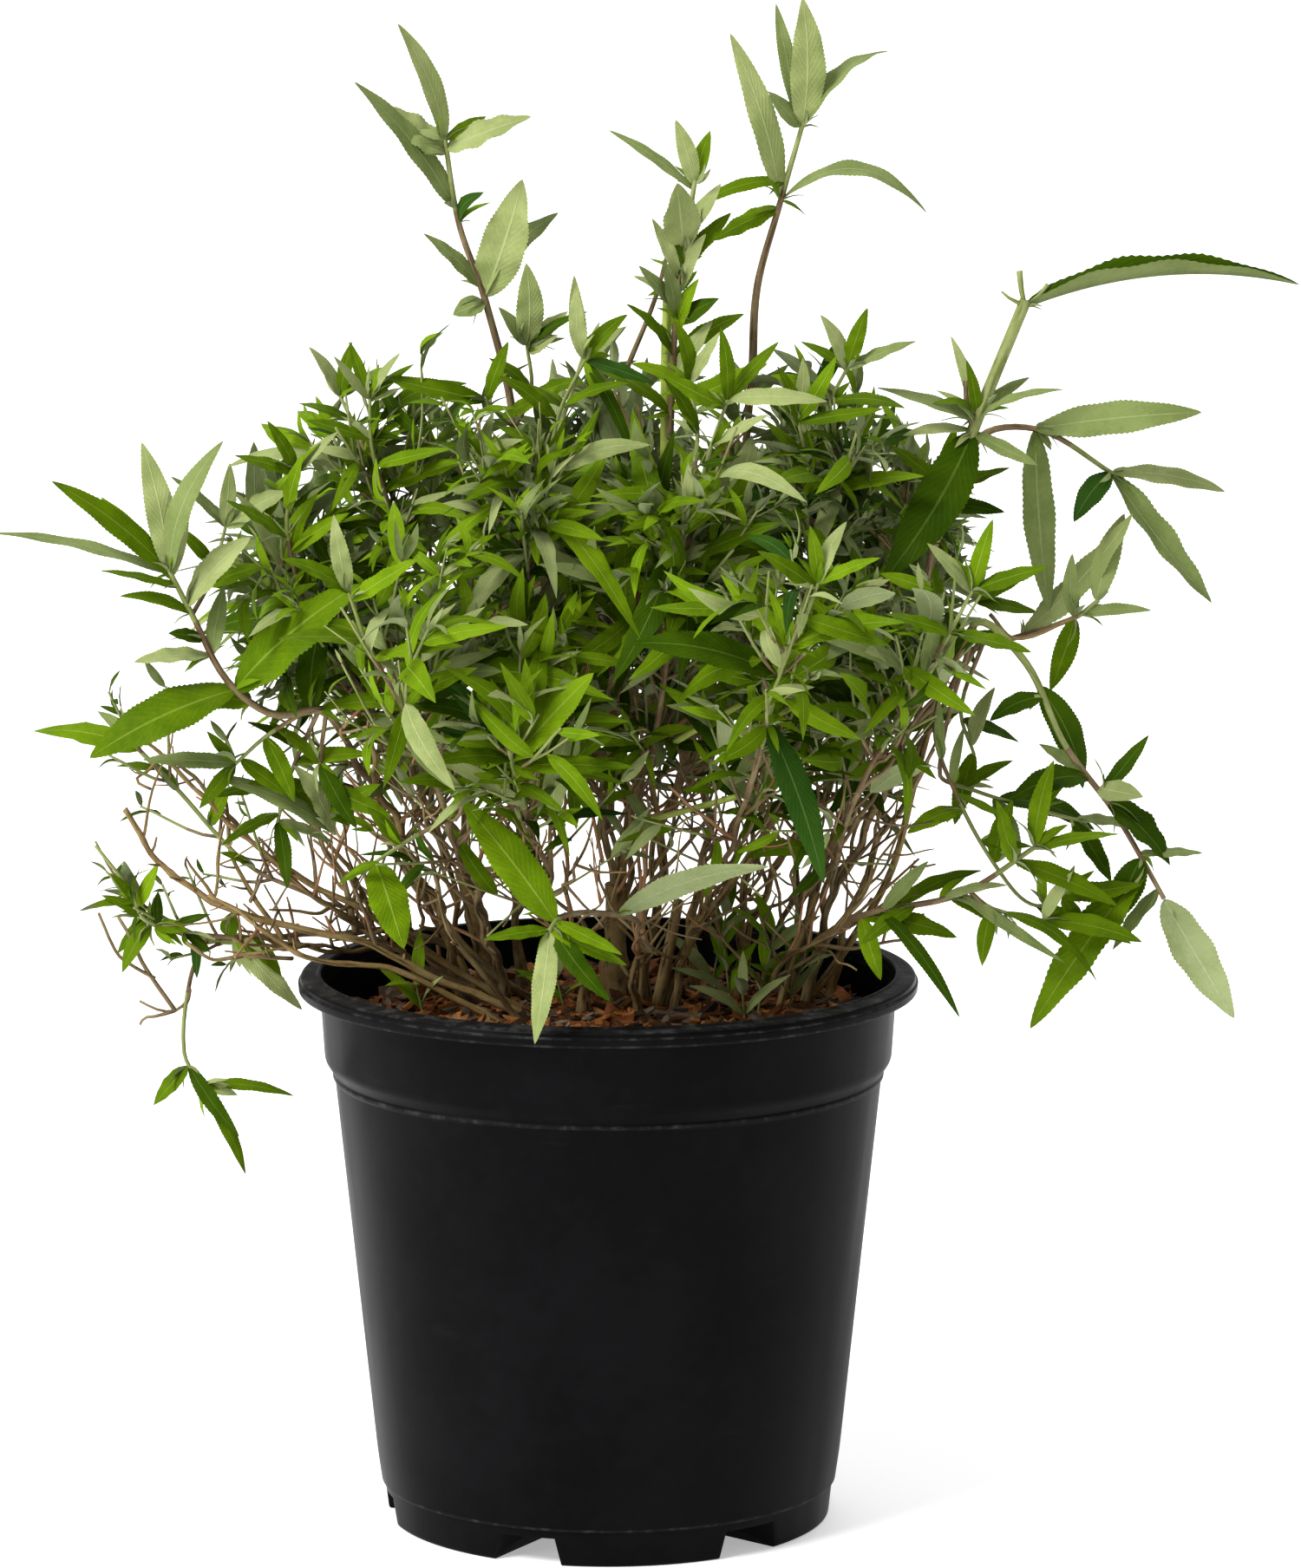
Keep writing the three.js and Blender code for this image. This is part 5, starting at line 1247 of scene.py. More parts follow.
# The crown's outline: how high it reaches at each place across it, seen from a little above.
CROWN_TOP = (
    (-215, 430), (-200, 455), (-165, 505), (-118, 542), (20, 554), (105, 545), (150, 505), (178, 455),
    (190, 420),
)
RISE = 0.17  # how much higher a place looks for each millimetre that it lies farther back

THINNING_FROM, THINNING_OVER = 352.0, 70.0  # where the rule's leaves thin out, and over what height

LIFT = 232.3  # where the stems' feet stand
CHIPS_LEVEL, LEVEL_REACH = 231.0, 108  # how high the chips lie, and how far out they lie level
POT_REACH, POT_TOP = 150.0, 262.0  # no twig or leaf of the rule's ends in here
TWIG_LOW, TWIG_LEFT, TWIG_RIGHT = 252.0, -222.0, 150.0  # how far the bare twigs reach
NEXT_TURN = 137  # degrees round a limb from one twig to the next
SEED_STEP = 1000  # between two limbs' seeds
SUNK = 4  # how far a foot goes down into the chips
LARGE_FROM, FINE_FROM = 44, 26  # lengths from which a placed leaf is made finer
MEDIUM_FROM, PLAIN_FROM = 38, 20  # the same for a leaf of the rule's
LEFT_OUT, SHORT_SHOOTS = 0.13, 0.16  # the shares of a spray's leaves that are missing, or carry a shoot
AXIS_TILT = 0.9  # how far a leaf's face turns outward from facing up


def foot_point(foot: Sequence[float]) -> np.ndarray:
    """A foot's place on the mix."""
    return np.array((foot[0], foot[1], LIFT))


def rising(start: np.ndarray, end: np.ndarray) -> np.ndarray:
    """The direction that a limb leaves its foot in: it rises a little before it leans over."""
    return unit(unit(end - start) + 0.6 * UP)


class ForkedStem:
    """A forked stem's curve, and where each of its boughs starts."""

    def __init__(self, fork: Fork) -> None:
        """Lays the curve."""
        self.fork = fork
        self.end = np.array(fork.tip, float)
        start = foot_point(fork.foot)
        self.curve = GrowthCurve((start, self.end), rising(start, self.end))
        self.tangent = self.curve.directions(1.0)
        self.boughs = [shoot for shoot in SHOOTS if shoot.foot == fork.name]

    def bearing(self, shoot: Shoot) -> float:
        """The way that a bough leans, as an angle about +Z."""
        return math.atan2(shoot.joint[1] - self.end[1], shoot.joint[0] - self.end[0])

    def bough_start(self, shoot: Shoot) -> np.ndarray:
        """A bough's foot. The boughs stand on a ring, each on the side that it leans to."""
        first = self.bearing(self.boughs[0])
        order = sorted(self.boughs, key=lambda bough: (self.bearing(bough) - first) % (2 * math.pi))
        angle = first + 2 * math.pi * order.index(shoot) / len(order)
        out = square_to(np.array((math.cos(angle), math.sin(angle), 0.0)), self.tangent)
        return self.end + 0.3 * self.tangent + out * (self.fork.girth[1] - shoot.girth[0] - 0.1)


class Limb:
    """A shoot's whole run, its bare limb and its leafy stem."""

    def __init__(self, shoot: Shoot, index: int, forks: Sequence[ForkedStem]) -> None:
        """Lays the run."""
        self.shoot, self.index = shoot, index
        self.fork = next((fork for fork in forks if fork.fork.name == shoot.foot), None)
        joint = np.array(shoot.joint, float)
        start = self.fork.bough_start(shoot) if self.fork else foot_point(shoot.foot)
        tangent = self.fork.tangent if self.fork else rising(start, joint)
        run = GrowthCurve((start, joint, *shoot.to), tangent)
        share = 1 / len(shoot.to) / (1 + 1 / len(shoot.to))
        self.seed = SEED_STEP * (index + 1)
        wild = Seeded(self.seed + 40)
        self.slim = wild.within(0.52, 0.86)
        self.bare = KinkedRun(Stretch(run, 0, share), 2.6, 3.4, wild)
        self.leafy = Stretch(run, share, 1)
        self.samples = self.leafy.points(np.linspace(0, 1, 11))

    def radius_at(self, share: float) -> float:
        """The leafy stem's radius."""
        return between((self.shoot.girth[1], 1.1), share)


@dataclass(frozen=True)
class Spray:
    """How leaves sit on a twig. A pair of values holds at the twig's foot and at its tip."""

    gap: float = 14.0
    first: float = 0.1
    splay: tuple = (66, 34)
    size: float = 41.0
    sizes: tuple = (0.7, 1.3)
    ratio: tuple = (0.184, 0.276)
    sag: float = 0.26
    roll: float = 45.0
    vigour: tuple = (0.66, 1.45)
    tuft_splay: tuple = (8, 38)


@dataclass
class Bush:
    """The whole plant: woody stems, twigs and leaves."""

    spray: Spray = Spray()
    wood: Stems = field(default_factory=lambda: Stems("woody_stems"))
    twigs: Stems = field(default_factory=lambda: Stems("bare_twigs"))
    shoots: Stems = field(default_factory=lambda: Stems("green_stems"))
    leaves: dict[str, Leaves] = field(default_factory=lambda: {name: Leaves(name) for name in REGIONS})
    lit: list = field(default_factory=list)

    SIDES = 14

    def __post_init__(self) -> None:
        """Lays all runs."""
        self.forks = [ForkedStem(fork) for fork in FORKS]
        self.limbs = [Limb(shoot, index, self.forks) for index, shoot in enumerate(SHOOTS)]
        self.samples = np.stack([limb.samples for limb in self.limbs])
        self.region = {name: self.leaves[region] for region, names in REGIONS.items() for name in names}

    # ---- wood

    def bark(self, girth: Sequence[float], length: float, seed: int,
             flare: float) -> Callable[[np.ndarray], np.ndarray]:
        """The radii of a woody stem: taper, flared root, swollen nodes, ridges and knots."""
        random = Seeded(seed)
        phases = [random.within(0, 6.28) for _ in range(6)]
        gap = random.within(21, 30)
        angles = np.linspace(0, 2 * math.pi, self.SIDES, endpoint=False)

        def radii(shares: np.ndarray) -> np.ndarray:
            """The radii of each ring's corners."""
            s = (shares * length)[:, None]
            a = angles[None] + 0.35 * np.sin(s / 23 + phases[0])
            taper = between(girth, shares)[:, None] * (1 + flare * np.exp(-s / 9))
            node = 0.2 * np.exp(-(((s + phases[5] * 4) % gap - gap / 2) / 2.2) ** 2)
            ridge = 0.065 * np.sin(3 * a + phases[1]) + 0.045 * np.sin(5 * a + s / 7 + phases[2])
            knot = 0.09 * np.sin(s / 4.1 + 2 * a + phases[3]) * np.sin(s / 11.0 + phases[4])
            root = 0.22 * flare * np.exp(-s / 13) * np.sin(4 * a + s / 5 + phases[4])
            return taper * (1 + node + ridge + knot + root)

        return radii

    def grow_wood(self) -> None:
        """Grows the forked stems and the bare limbs, each foot a little way into the chips."""
        for fork in self.forks:
            curve = self.sunk(fork.curve)
            radii = self.bark(fork.fork.girth, curve.length(), len(fork.fork.name), 0.7)
            self.wood.add(curve, fork.fork.girth, TAN, self.SIDES, 2.6, foot=UP, radius_at=radii)
        for limb in self.limbs:
            curve = limb.bare if limb.fork else self.sunk(limb.bare)
            girth = [radius * limb.slim for radius in limb.shoot.girth]
            radii = self.bark(girth, curve.length(), limb.seed + 3, 0.1 if limb.fork else 0.8)
            age = TAN if limb.index % 3 else GREY
            self.wood.add(curve, girth, age, self.SIDES, 3.2, PURPLE, 0.72, None, radii)

    def sunk(self, run: Run) -> Run:
        """A run whose foot goes down into the chips."""
        places = run.points(np.linspace(0, 1, 25))
        places[0, 2] -= SUNK
        return GrowthCurve(places, unit(run.directions(0.0)))

    def grow_bare_twigs(self) -> None:
        """Grows thin crooked twigs off the bare limbs, the fan at the left foot and the loose ones."""
        for limb in self.limbs:
            random = Seeded(limb.seed + 500)
            for k in range(THICKET.count):
                at = between(THICKET.part, (k + random()) / THICKET.count)
                turn = NEXT_TURN * k + random.about(40)
                aside = splayed(limb.bare.directions(at), turn, random.within(*THICKET.splay))
                direction = unit(aside + 0.3 * UP)
                length = random.within(*THICKET.lengths) * (1.2 - 0.5 * at)
                radius = random.within(0.75, 1.35)
                self.grow_bare_twig(limb.bare.points(at), direction, length, radius, random, 1)
        for k in range(FAN.count):
            random = Seeded(900 + k)
            share = (k + random.within(0.1, 0.9)) / FAN.count
            direction = heading(between(FAN.leans, share), random.within(-38, 30))
            foot = foot_point((FAN.foot[0] + random.about(9), FAN.foot[1] + random.about(16)))
            length = random.within(*FAN.lengths)
            self.grow_bare_twig(foot - SUNK * UP, direction, length, random.within(1.3, 2.0), random, 2)
        for k, stem in enumerate(BARE_STEMS):
            self.grow_bare_stem(stem, Seeded(1800 + k))
        for twig in LOOSE_TWIGS:
            self.twigs.add(GrowthCurve(twig.through), twig.girth, twig.wood, 7, 4)

    def grow_bare_stem(self, stem: LooseTwig, random: Seeded) -> None:
        """Grows one bare stem with its knees, and stubs and thin twigs along it."""
        curve = GrowthCurve(stem.through)
        run = KinkedRun(curve, 0.9, 1.6, random)
        length = curve.length()
        girth = (stem.girth[0] * 0.8, stem.girth[1])
        radii = self.bark(girth, length, round(random.within(1, 900)), 0.1)
        self.twigs.add(run, girth, stem.wood, self.SIDES, 3, radius_at=radii)
        for k in range(max(2, round(length / 13))):
            at = (k + random.within(0.3, 1)) / round(length / 13 + 1)
            if run.points(at)[2] < 258:
                continue
            out = splayed(run.directions(at), random.within(0, 360), random.within(35, 75))
            stub = random.within(3, 9) if random() < 0.66 else random.within(12, 34)
            self.grow_bare_twig(run.points(at), out, stub, between(stem.girth, at) * 0.6, random, 0)

    def grow_bare_twig(self, root: np.ndarray, direction: np.ndarray, length: float, radius: float,
                       random: Seeded, order: int) -> None:
        """Grows one bare twig and the twigs on it."""
        bend = np.array((random.about(0.16), random.about(0.16), 0.2)) * length
        middle = root + direction * length * 0.5 + bend * 0.2
        smooth = GrowthCurve((root, middle, root + direction * length + bend), direction)
        run = KinkedRun(smooth, 0.016 * length, min(3.4, 0.042 * length), random)
        end = run.points(1.0)
        if order < 2 and (self.on_pot(end) or end[2] < TWIG_LOW or not TWIG_LEFT <= end[0] <= TWIG_RIGHT):
            return
        draw = random()
        wood = DEAD if draw < 0.22 else (TAN if draw < 0.62 else PURPLE)
        self.twigs.add(run, (radius, radius * 0.55), wood, 6, 4)
        for k in range((0, 2, 4)[order]):
            at = random.within(0.25, 0.97)
            out = splayed(run.directions(at), random.within(0, 360), random.within(32, 75))
            self.grow_bare_twig(run.points(at), out, random.within(9, 34), radius * 0.68, random, 0)

    # ---- leaves

    @staticmethod
    def on_pot(place: np.ndarray) -> bool:
        """True where something would lie in the pot or its rim."""
        return bool(place[2] < POT_TOP and math.hypot(place[0], place[1]) < POT_REACH)

    def outside(self, limb: Limb, root: np.ndarray, tip: np.ndarray) -> bool:
        """True where a leaf of the rule's would leave the crown or hang before a large leaf."""
        if not limb.shoot.nodes or limb.shoot.bare:
            return False
        xs, tops = zip(*CROWN_TOP)
        if tip[2] + RISE * tip[1] > np.interp(tip[0], xs, tops) or not xs[0] < tip[0] < xs[-1] + 12:
            return True
        for place in (tip, (root + tip) / 2):
            aside = self.lit_places[:, 0] - place[0]
            above = self.lit_places[:, 2] - place[2] + RISE * (self.lit_places[:, 1] - place[1])
            near = np.hypot(aside, above) < self.lit_places[:, 3]
            if np.any(near & (self.lit_places[:, 1] > place[1] - 4)):
                return True
        return False

    def owner(self, place: np.ndarray) -> int:
        """The shoot whose leafy stem is nearest to a place."""
        return int(np.argmin(np.linalg.norm(self.samples - place, axis=2).min(axis=1)))

    def grow_given(self, limb: Limb) -> None:
        """Grows the leafy stem and the leaves whose places are given."""
        shoot = limb.shoot
        girth = (shoot.girth[1] * (0.8 if shoot.nodes else 1.0), shoot.girth[1] * 0.95 if shoot.cut else 1.1)
        wood, later, change = (PURPLE, GREEN, 0.35 if shoot.nodes else 0.72)
        if shoot.green:
            wood, later, change = GREEN, PURPLE, shoot.green
        self.shoots.add(limb.leafy, girth, wood, 8, 5, later, change)
        random = Seeded(limb.seed + 700)
        self.give_leaves(limb, limb.leafy, shoot.leaves, random)
        for side in (side for name, side in SIDE_SHOOTS if name == shoot.name):
            start = limb.leafy.points(side.at)
            branch = GrowthCurve((start, *side.to))
            self.shoots.add(branch, (1.15, 0.8), PURPLE, 7, 5, GREEN, 0.4)
            self.give_leaves(limb, branch, side.leaves, random)

    def give_leaves(self, limb: Limb, curve: Run, rows: Sequence[tuple], random: Seeded) -> None:
        """Grows leaves at given places, and tiny ones where they leave the stem."""
        for at, lean, toward, length, width, tone, *shape in rows:
            along = heading(lean, toward)
            usual = (random.within(0.16, 0.34), random.within(0.15, 0.4), AXIS_TILT)
            droop, fold, tilt = (*shape, *usual[len(shape):])
            face = UP * 0.55 - FRONT if tone is UNDER else UP + tilt * FRONT
            normal = turned(square_to(face, along), along, random.about(14))
            root = curve.points(at)
            row = LeafRow(root, along, normal, length, width, tone, droop, droop * random.within(0.95, 1.1),
                          fold, random.about(0.4), random.about(0.2), random.within(0.04, 0.12))
            fine = Detail.FINE if length > FINE_FROM else Detail.PLAIN
            detail = Detail.LARGE if length > LARGE_FROM else fine
            self.region[limb.shoot.name].add(row, detail)
            if length > 24:
                for share in (0.15, 0.4, 0.65, 0.9):
                    place = root + along * length * share
                    self.lit.append((*place, 4.5 + width * 0.32 * math.sin(math.pi * share)))
            for _ in range(2):
                young = splayed(along, random.within(0, 360), random.within(15, 40))
                size = random.within(7, 17)
                shade = PALE if random() < 0.5 else BRIGHT
                self.place_leaf(limb, root, young, size, size * 0.24, shade, random, 35)

    def grow_leaf(self, limb: Limb, root: np.ndarray, along: np.ndarray, length: float, width: float,
                  tone: Tone, random: Seeded, roll: float = 35.0) -> None:
        """Grows one leaf of the rule's where there is room for it."""
        tip = root + along * length
        low = THINNING_FROM - tip[2] - RISE * tip[1]
        if low > 0 and not limb.shoot.bare and random() < low / THINNING_OVER:
            return
        if not self.on_pot(tip) and not self.outside(limb, root, tip):
            self.place_leaf(limb, root, along, length, width, tone, random, roll)

    def place_leaf(self, limb: Limb, root: np.ndarray, along: np.ndarray, length: float, width: float,
                   tone: Tone, random: Seeded, roll: float) -> None:
        """Sets one leaf with its face turned up and outward."""
        tip = root + along * length
        outward = unit(np.array((tip[0], tip[1], 1e-3)))
        normal = turned(square_to(UP + AXIS_TILT * outward, along), along, random.about(roll))
        row = LeafRow(root, along, normal, length, width, tone, random.within(0.2, 0.45),
                      random.within(0.35, 0.8), random.within(0.05, 0.42), random.about(0.7),
                      random.about(0.35), random.within(0.02, 0.12))
        plain = Detail.PLAIN if length > PLAIN_FROM else Detail.SMALL
        detail = Detail.MEDIUM if length > MEDIUM_FROM else plain
        self.region[limb.shoot.name].add(row, detail)

    def spray_tone(self, random: Seeded, place: np.ndarray) -> Tone:
        """The tone of one spray's leaves: deeper inside the crown and low down."""
        depth = math.hypot(place[0], place[1]) / 190 + (place[2] - 300) / 420
        draw = random() + 0.28 * (depth - 0.8)
        if draw < 0.24:
            return DEEP
        if draw < 0.31:
            return TEAL
        return MID if draw < 0.68 else BRIGHT

    def grow_spray(self, limb: Limb, run: Run, tone: Tone, random: Seeded, scale: float = 1.0,
                   order: int = 1) -> None:
        """Grows pairs of leaves along a twig, young ones at its tip and short shoots beside some leaves.

        Args:
            limb: the shoot that it belongs to.
            run: the twig.
            tone: of its full-grown leaves.
            random: numbers.
            scale: of its leaves.
            order: how many more times it may branch.
        """
        spray = self.spray
        scale *= between(spray.vigour, random() ** 1.6)
        length = run.length()
        pairs = max(2, round(length * (1 - spray.first) / (spray.gap * scale)))
        own = random.within(0, 90)
        for j in range(pairs):
            share = (j + 0.5) / pairs
            at = spray.first + (0.97 - spray.first) * share
            size = spray.size * scale * math.sin(math.pi * (0.25 + 0.62 * share)) ** 0.7
            for side in (0, 1):
                turn = own + 90 * j + 180 * side + random.about(26)
                along = splayed(run.directions(at), turn, between(spray.splay, share) + random.about(16))
                along = unit(along - spray.sag * (1.3 - share) * random.within(-0.2, 2.2) * UP)
                leaf = size * random.within(*spray.sizes)
                wide = leaf * random.within(*spray.ratio)
                root = run.points(at)
                if random() < LEFT_OUT:
                    continue
                shade = self.leaf_tone(tone, share, random)
                self.grow_leaf(limb, root, along, leaf, wide, shade, random, spray.roll)
                if order and random() < SHORT_SHOOTS:
                    self.grow_short_shoot(limb, root, run.directions(at), turn, random)
        self.grow_tuft(limb, run, random, 18 * scale + 3)

    @staticmethod
    def leaf_tone(tone: Tone, share: float, random: Seeded) -> Tone:
        """One leaf's tone on a spray: most are alike, and the young ones near the tip are pale."""
        drawn = random()
        if share > 0.72 and drawn < 0.32 or drawn < 0.08:
            return PALE
        # some leaves take the grey-green with painted sheen and painted shade
        if share > 0.72 and drawn < 0.46 or drawn < 0.18:
            return SILVER
        if drawn < 0.78:
            return tone
        if drawn < 0.9:
            return MID
        return BRIGHT if share > 0.4 else DEEP

    def grow_short_shoot(self, limb: Limb, root: np.ndarray, tangent: np.ndarray, turn: float,
                         random: Seeded) -> None:
        """Grows a short shoot between a leaf and its twig."""
        length = random.within(8, 26)
        direction = splayed(tangent, turn + random.about(20), random.within(30, 55))
        run = GrowthCurve((root, root + direction * length + UP * 0.18 * length), direction)
        self.shoots.add(run, (0.55, 0.35), GREEN, 3, 12)
        tone = self.spray_tone(random, root)
        own = random.within(0, 90)
        for j in range(1 if length < 15 else 2):
            for side in (0, 1):
                along = splayed(run.directions(0.6), own + 90 * j + 180 * side, random.within(35, 60))
                size = random.within(13, 27)
                at = run.points(0.45 + 0.4 * j)
                self.grow_leaf(limb, at, along, size, size * random.within(0.2, 0.29), tone, random)
        self.grow_tuft(limb, run, random, 11)

    def grow_tuft(self, limb: Limb, run: Run, random: Seeded, size: float) -> None:
        """Grows the young leaves round a tip."""
        end, tangent = run.points(1.0), run.directions(1.0)
        turn = random.within(0, 360)
        pale = random() < 0.6
        for i in range(5):
            spread = between(self.spray.tuft_splay, (i // 2) / 2) + random.about(9)
            along = splayed(tangent, turn + 90 * (i // 2) + 180 * (i % 2), spread)
            length = size * between((0.45, 1.35), (i // 2) / 2) * random.within(0.7, 1.2)
            tone = (PALE if i < 2 else SILVER) if pale and i < 4 else BRIGHT
            width = length * random.within(0.19, 0.27)
            self.grow_leaf(limb, end - tangent * 2.2 * (i // 2), along, length, width, tone, random, 80)

    def grow_by_rule(self, limb: Limb) -> None:
        """Grows the twigs that the rule adds, with a smaller pair between each two pairs."""
        shoot = limb.shoot
        for k in range(2 * shoot.nodes):
            share = (k / 2 + 0.35) / shoot.nodes
            t = min(between((0.06, 1), share), 0.97)
            for side in (0, 1):
                random = Seeded(limb.seed + 10 * (k // 2) + side + 5 * (k % 2))
                turn = 45 * k + 180 * side + 25 * limb.index + 34 * (random() - 0.5)
                length = shoot.spread * between((1, 0.62), t) * between((0.75, 1.05), random())
                length *= random.within(0.45, 0.95) if k % 2 else random.within(0.7, 1.15)
                direction = splayed(limb.leafy.directions(t), turn, between((58, 40), t))
                radius = limb.radius_at(t) * 0.6
                self.grow_twig(limb, limb.leafy.points(t), direction, length, radius, random)
        if shoot.nodes:
            self.grow_tuft(limb, limb.leafy, Seeded(limb.seed + 900), 30)
            self.grow_risers(limb)
            self.grow_low_twigs(limb)

    def grow_risers(self, limb: Limb) -> None:
        """Grows slender leafy shoots that rise steeply between the masses."""
        if limb.shoot.bare:
            return
        for k in range(RISERS.count):
            random = Seeded(limb.seed + 1300 + k)
            at = random.within(*RISERS.part)
            run = limb.bare if at < 1 else limb.leafy
            start = run.points(at % 1.0)
            out = splayed(run.directions(at % 1.0), random.within(0, 360), random.within(28, 60))
            length = random.within(*RISERS.lengths)
            end = start + out * length * 0.45 + UP * length * 0.75
            riser = KinkedRun(GrowthCurve((start, end), out), 1.2, 0.8, random)
            self.shoots.add(riser, (1.0, 0.5), PURPLE, 5, 7, GREEN, 0.35)
            self.grow_spray(limb, riser, self.spray_tone(random, end), random, 0.9, 1)

    def grow_low_twigs(self, limb: Limb) -> None:
        """Grows leafy twigs on the upper part of a bare limb, where the crown thins out."""
        if limb.shoot.bare:
            return
        random = Seeded(limb.seed + 950)
        for k in range(6):
            at = between((0.58, 0.98), (k + 0.5) / 6)
            turn = NEXT_TURN * k + random.about(30)
            direction = splayed(limb.bare.directions(at), turn, random.within(35, 70))
            length = random.within(26, 66)
            start = limb.bare.points(at)
            run = GrowthCurve((start, start + direction * length + UP * 0.1 * length), direction)
            self.shoots.add(run, (0.8, 0.5), PURPLE, 4, 8, GREEN, 0.4)
            self.grow_spray(limb, run, self.spray_tone(random, start), random, 0.8, 0)

    def grow_twig(self, limb: Limb, root: np.ndarray, direction: np.ndarray, length: float, radius: float,
                  random: Seeded) -> None:
        """Grows one of the rule's twigs, the twigs on it and their leaves."""
        run = GrowthCurve((root, root + direction * length * 0.9 + UP * 0.34 * length), direction)
        if self.owner(run.points(1.0)) != limb.index or self.on_pot(run.points(1.0)):
            return
        self.shoots.add(run, (max(0.9, radius), 0.6), PURPLE, 5, 8, GREEN, 0.3)
        if limb.shoot.bare:
            self.grow_small_leaves(limb, run, random)
            return
        tone = self.spray_tone(random, run.points(0.7))
        self.grow_spray(limb, run, tone, random)
        at = random.within(0.2, 0.65)
        out = splayed(run.directions(at), random.within(0, 360), random.within(32, 50))
        out = unit(out + random.within(0.2, 1.1) * UP)
        reach = length * random.within(0.4, 0.8)
        start = run.points(at)
        more = GrowthCurve((start, start + out * reach + UP * 0.2 * reach), out)
        if self.owner(more.points(1.0)) == limb.index:
            self.shoots.add(more, (0.8, 0.5), GREEN, 4, 9)
            self.grow_spray(limb, more, self.spray_tone(random, start), random, 0.82, 0)

    def grow_small_leaves(self, limb: Limb, run: Run, random: Seeded) -> None:
        """Grows a few tiny leaves at the end of a bare twig."""
        for k in range(3):
            along = splayed(run.directions(0.8), 120 * k + random.about(40), random.within(25, 60))
            size = random.within(8, 18)
            self.grow_leaf(limb, run.points(0.72 + 0.13 * k), along, size, size * 0.26, DEEP, random)

    def grow_root_shoots(self) -> None:
        """Grows young shoots that come up through the chips."""
        limb = next(limb for limb in self.limbs if limb.shoot.name == "front_right")
        for k, (x, y, lean, toward, height) in enumerate(ROOT_SHOOTS):
            random = Seeded(77 + k)
            start = np.array((x, y, CHIPS_LEVEL))
            direction = heading(lean, toward)
            run = GrowthCurve((start, start + direction * height), unit(direction + UP))
            self.shoots.add(run, (0.7, 0.45), GREEN, 5, 5)
            for j in range(max(2, round(height / 11))):
                at = min(0.98, 0.3 + j * 11 / height)
                for side in (0, 1):
                    turn = 90 * j + 180 * side + random.about(20)
                    along = splayed(run.directions(at), turn, random.within(26, 52))
                    size = random.within(18, 34)
                    place = run.points(at)
                    if place[2] + along[2] * size > 238:
                        self.grow_root_leaf(limb, place, along, size, random)

    def grow_root_leaf(self, limb: Limb, root: np.ndarray, along: np.ndarray, size: float,
                       random: Seeded) -> None:
        """Grows one leaf of a young shoot from the root."""
        normal = square_to(UP + 0.6 * FRONT, along)
        draw = random()
        tone = PALE if draw < 0.3 else (BRIGHT if draw < 0.75 else MID)
        row = LeafRow(root, along, normal, size, size * random.within(0.2, 0.28), tone, 0.25, 0.4, 0.3)
        self.region[limb.shoot.name].add(row, Detail.PLAIN)

    def grow(self) -> None:
        """Grows the whole plant, the leaves whose places are given first."""
        self.grow_wood()
        self.grow_bare_twigs()
        for limb in self.limbs:
            self.grow_given(limb)
        for twig in LOOSE_TWIGS:
            if twig.wood in (DEAD, CUT):
                places = GrowthCurve(twig.through).points(np.linspace(0, 1, 9))
                self.lit += [(*place, 3.5) for place in places]
        self.lit_places = np.array(self.lit)
        for limb in self.limbs:
            self.grow_by_rule(limb)
        self.grow_root_shoots()


# ---- pot and mix

def filleted(profile: Sequence[tuple], segments: int = 4) -> list[tuple[float, float]]:
    """A profile with rounded corners.

    Args:
        profile: (radius, height, rounding) of each corner.
        segments: stretches of each rounding.

    Returns:
        The points of the rounded profile.
    """
    made: list[tuple[float, float]] = []
    for i, (r, z, rounding) in enumerate(profile):
        here = Vector((r, z))
        if not rounding or i in (0, len(profile) - 1):
            made.append((r, z))
            continue
        before, after = (Vector(profile[j][:2]) for j in (i - 1, i + 1))
        room = min((before - here).length, (after - here).length) * 0.48
        start = here + (before - here).normalized() * min(rounding, room)
        end = here + (after - here).normalized() * min(rounding, room)
        for k in range(segments + 1):
            t = k / segments
            made.append(tuple(start * (1 - t) ** 2 + here * 2 * t * (1 - t) + end * t**2))
    return made


def put_in_order(made: BMesh) -> None:
    """Sorts the faces by their corners, because a turned shape's faces come in another order each run."""
    made.verts.index_update()
    count = len(made.verts)

    def rank(face: bmesh.types.BMFace) -> int:
        """A number that no other face has."""
        corners = sorted(vertex.index for vertex in face.verts)
        return (corners[0] * count + corners[1]) * count + corners[-1]

    made.faces.sort(key=rank)
    made.faces.index_update()


def spun(name: str, profile: Sequence[tuple], steps: int) -> BMesh:
    """A closed profile, from the axis back to the axis, turned about +Z.

    Args:
        name: for the log.
        profile: (radius, height) points in millimetres.
        steps: of the full turn.

    Returns:
        The turned shape.
    """
    made = bmesh.new()
    chain = [made.verts.new((r * MM, 0, z * MM)) for r, z in profile]
    edges = [made.edges.new(pair) for pair in zip(chain, chain[1:])]
    bmesh.ops.spin(made, geom=chain + edges, cent=(0, 0, 0), axis=(0, 0, 1), angle=2 * math.pi,
                   steps=steps, use_merge=True)
    bmesh.ops.remove_doubles(made, verts=made.verts, dist=1e-6)
    bmesh.ops.recalc_face_normals(made, faces=made.faces)
    put_in_order(made)
    LOG.info("%s: %d faces turned", name, len(made.faces))
    return made


def finish_mesh(made: BMesh, name: str, degrees: float) -> Mesh:
    """Writes a bmesh to a mesh, smooth except at edges over an angle."""
    mesh = bpy.data.meshes.new(name)
    made.to_mesh(mesh)
    made.free()
    mesh.shade_smooth()
    mesh.set_sharp_from_angle(angle=math.radians(degrees))
    return mesh


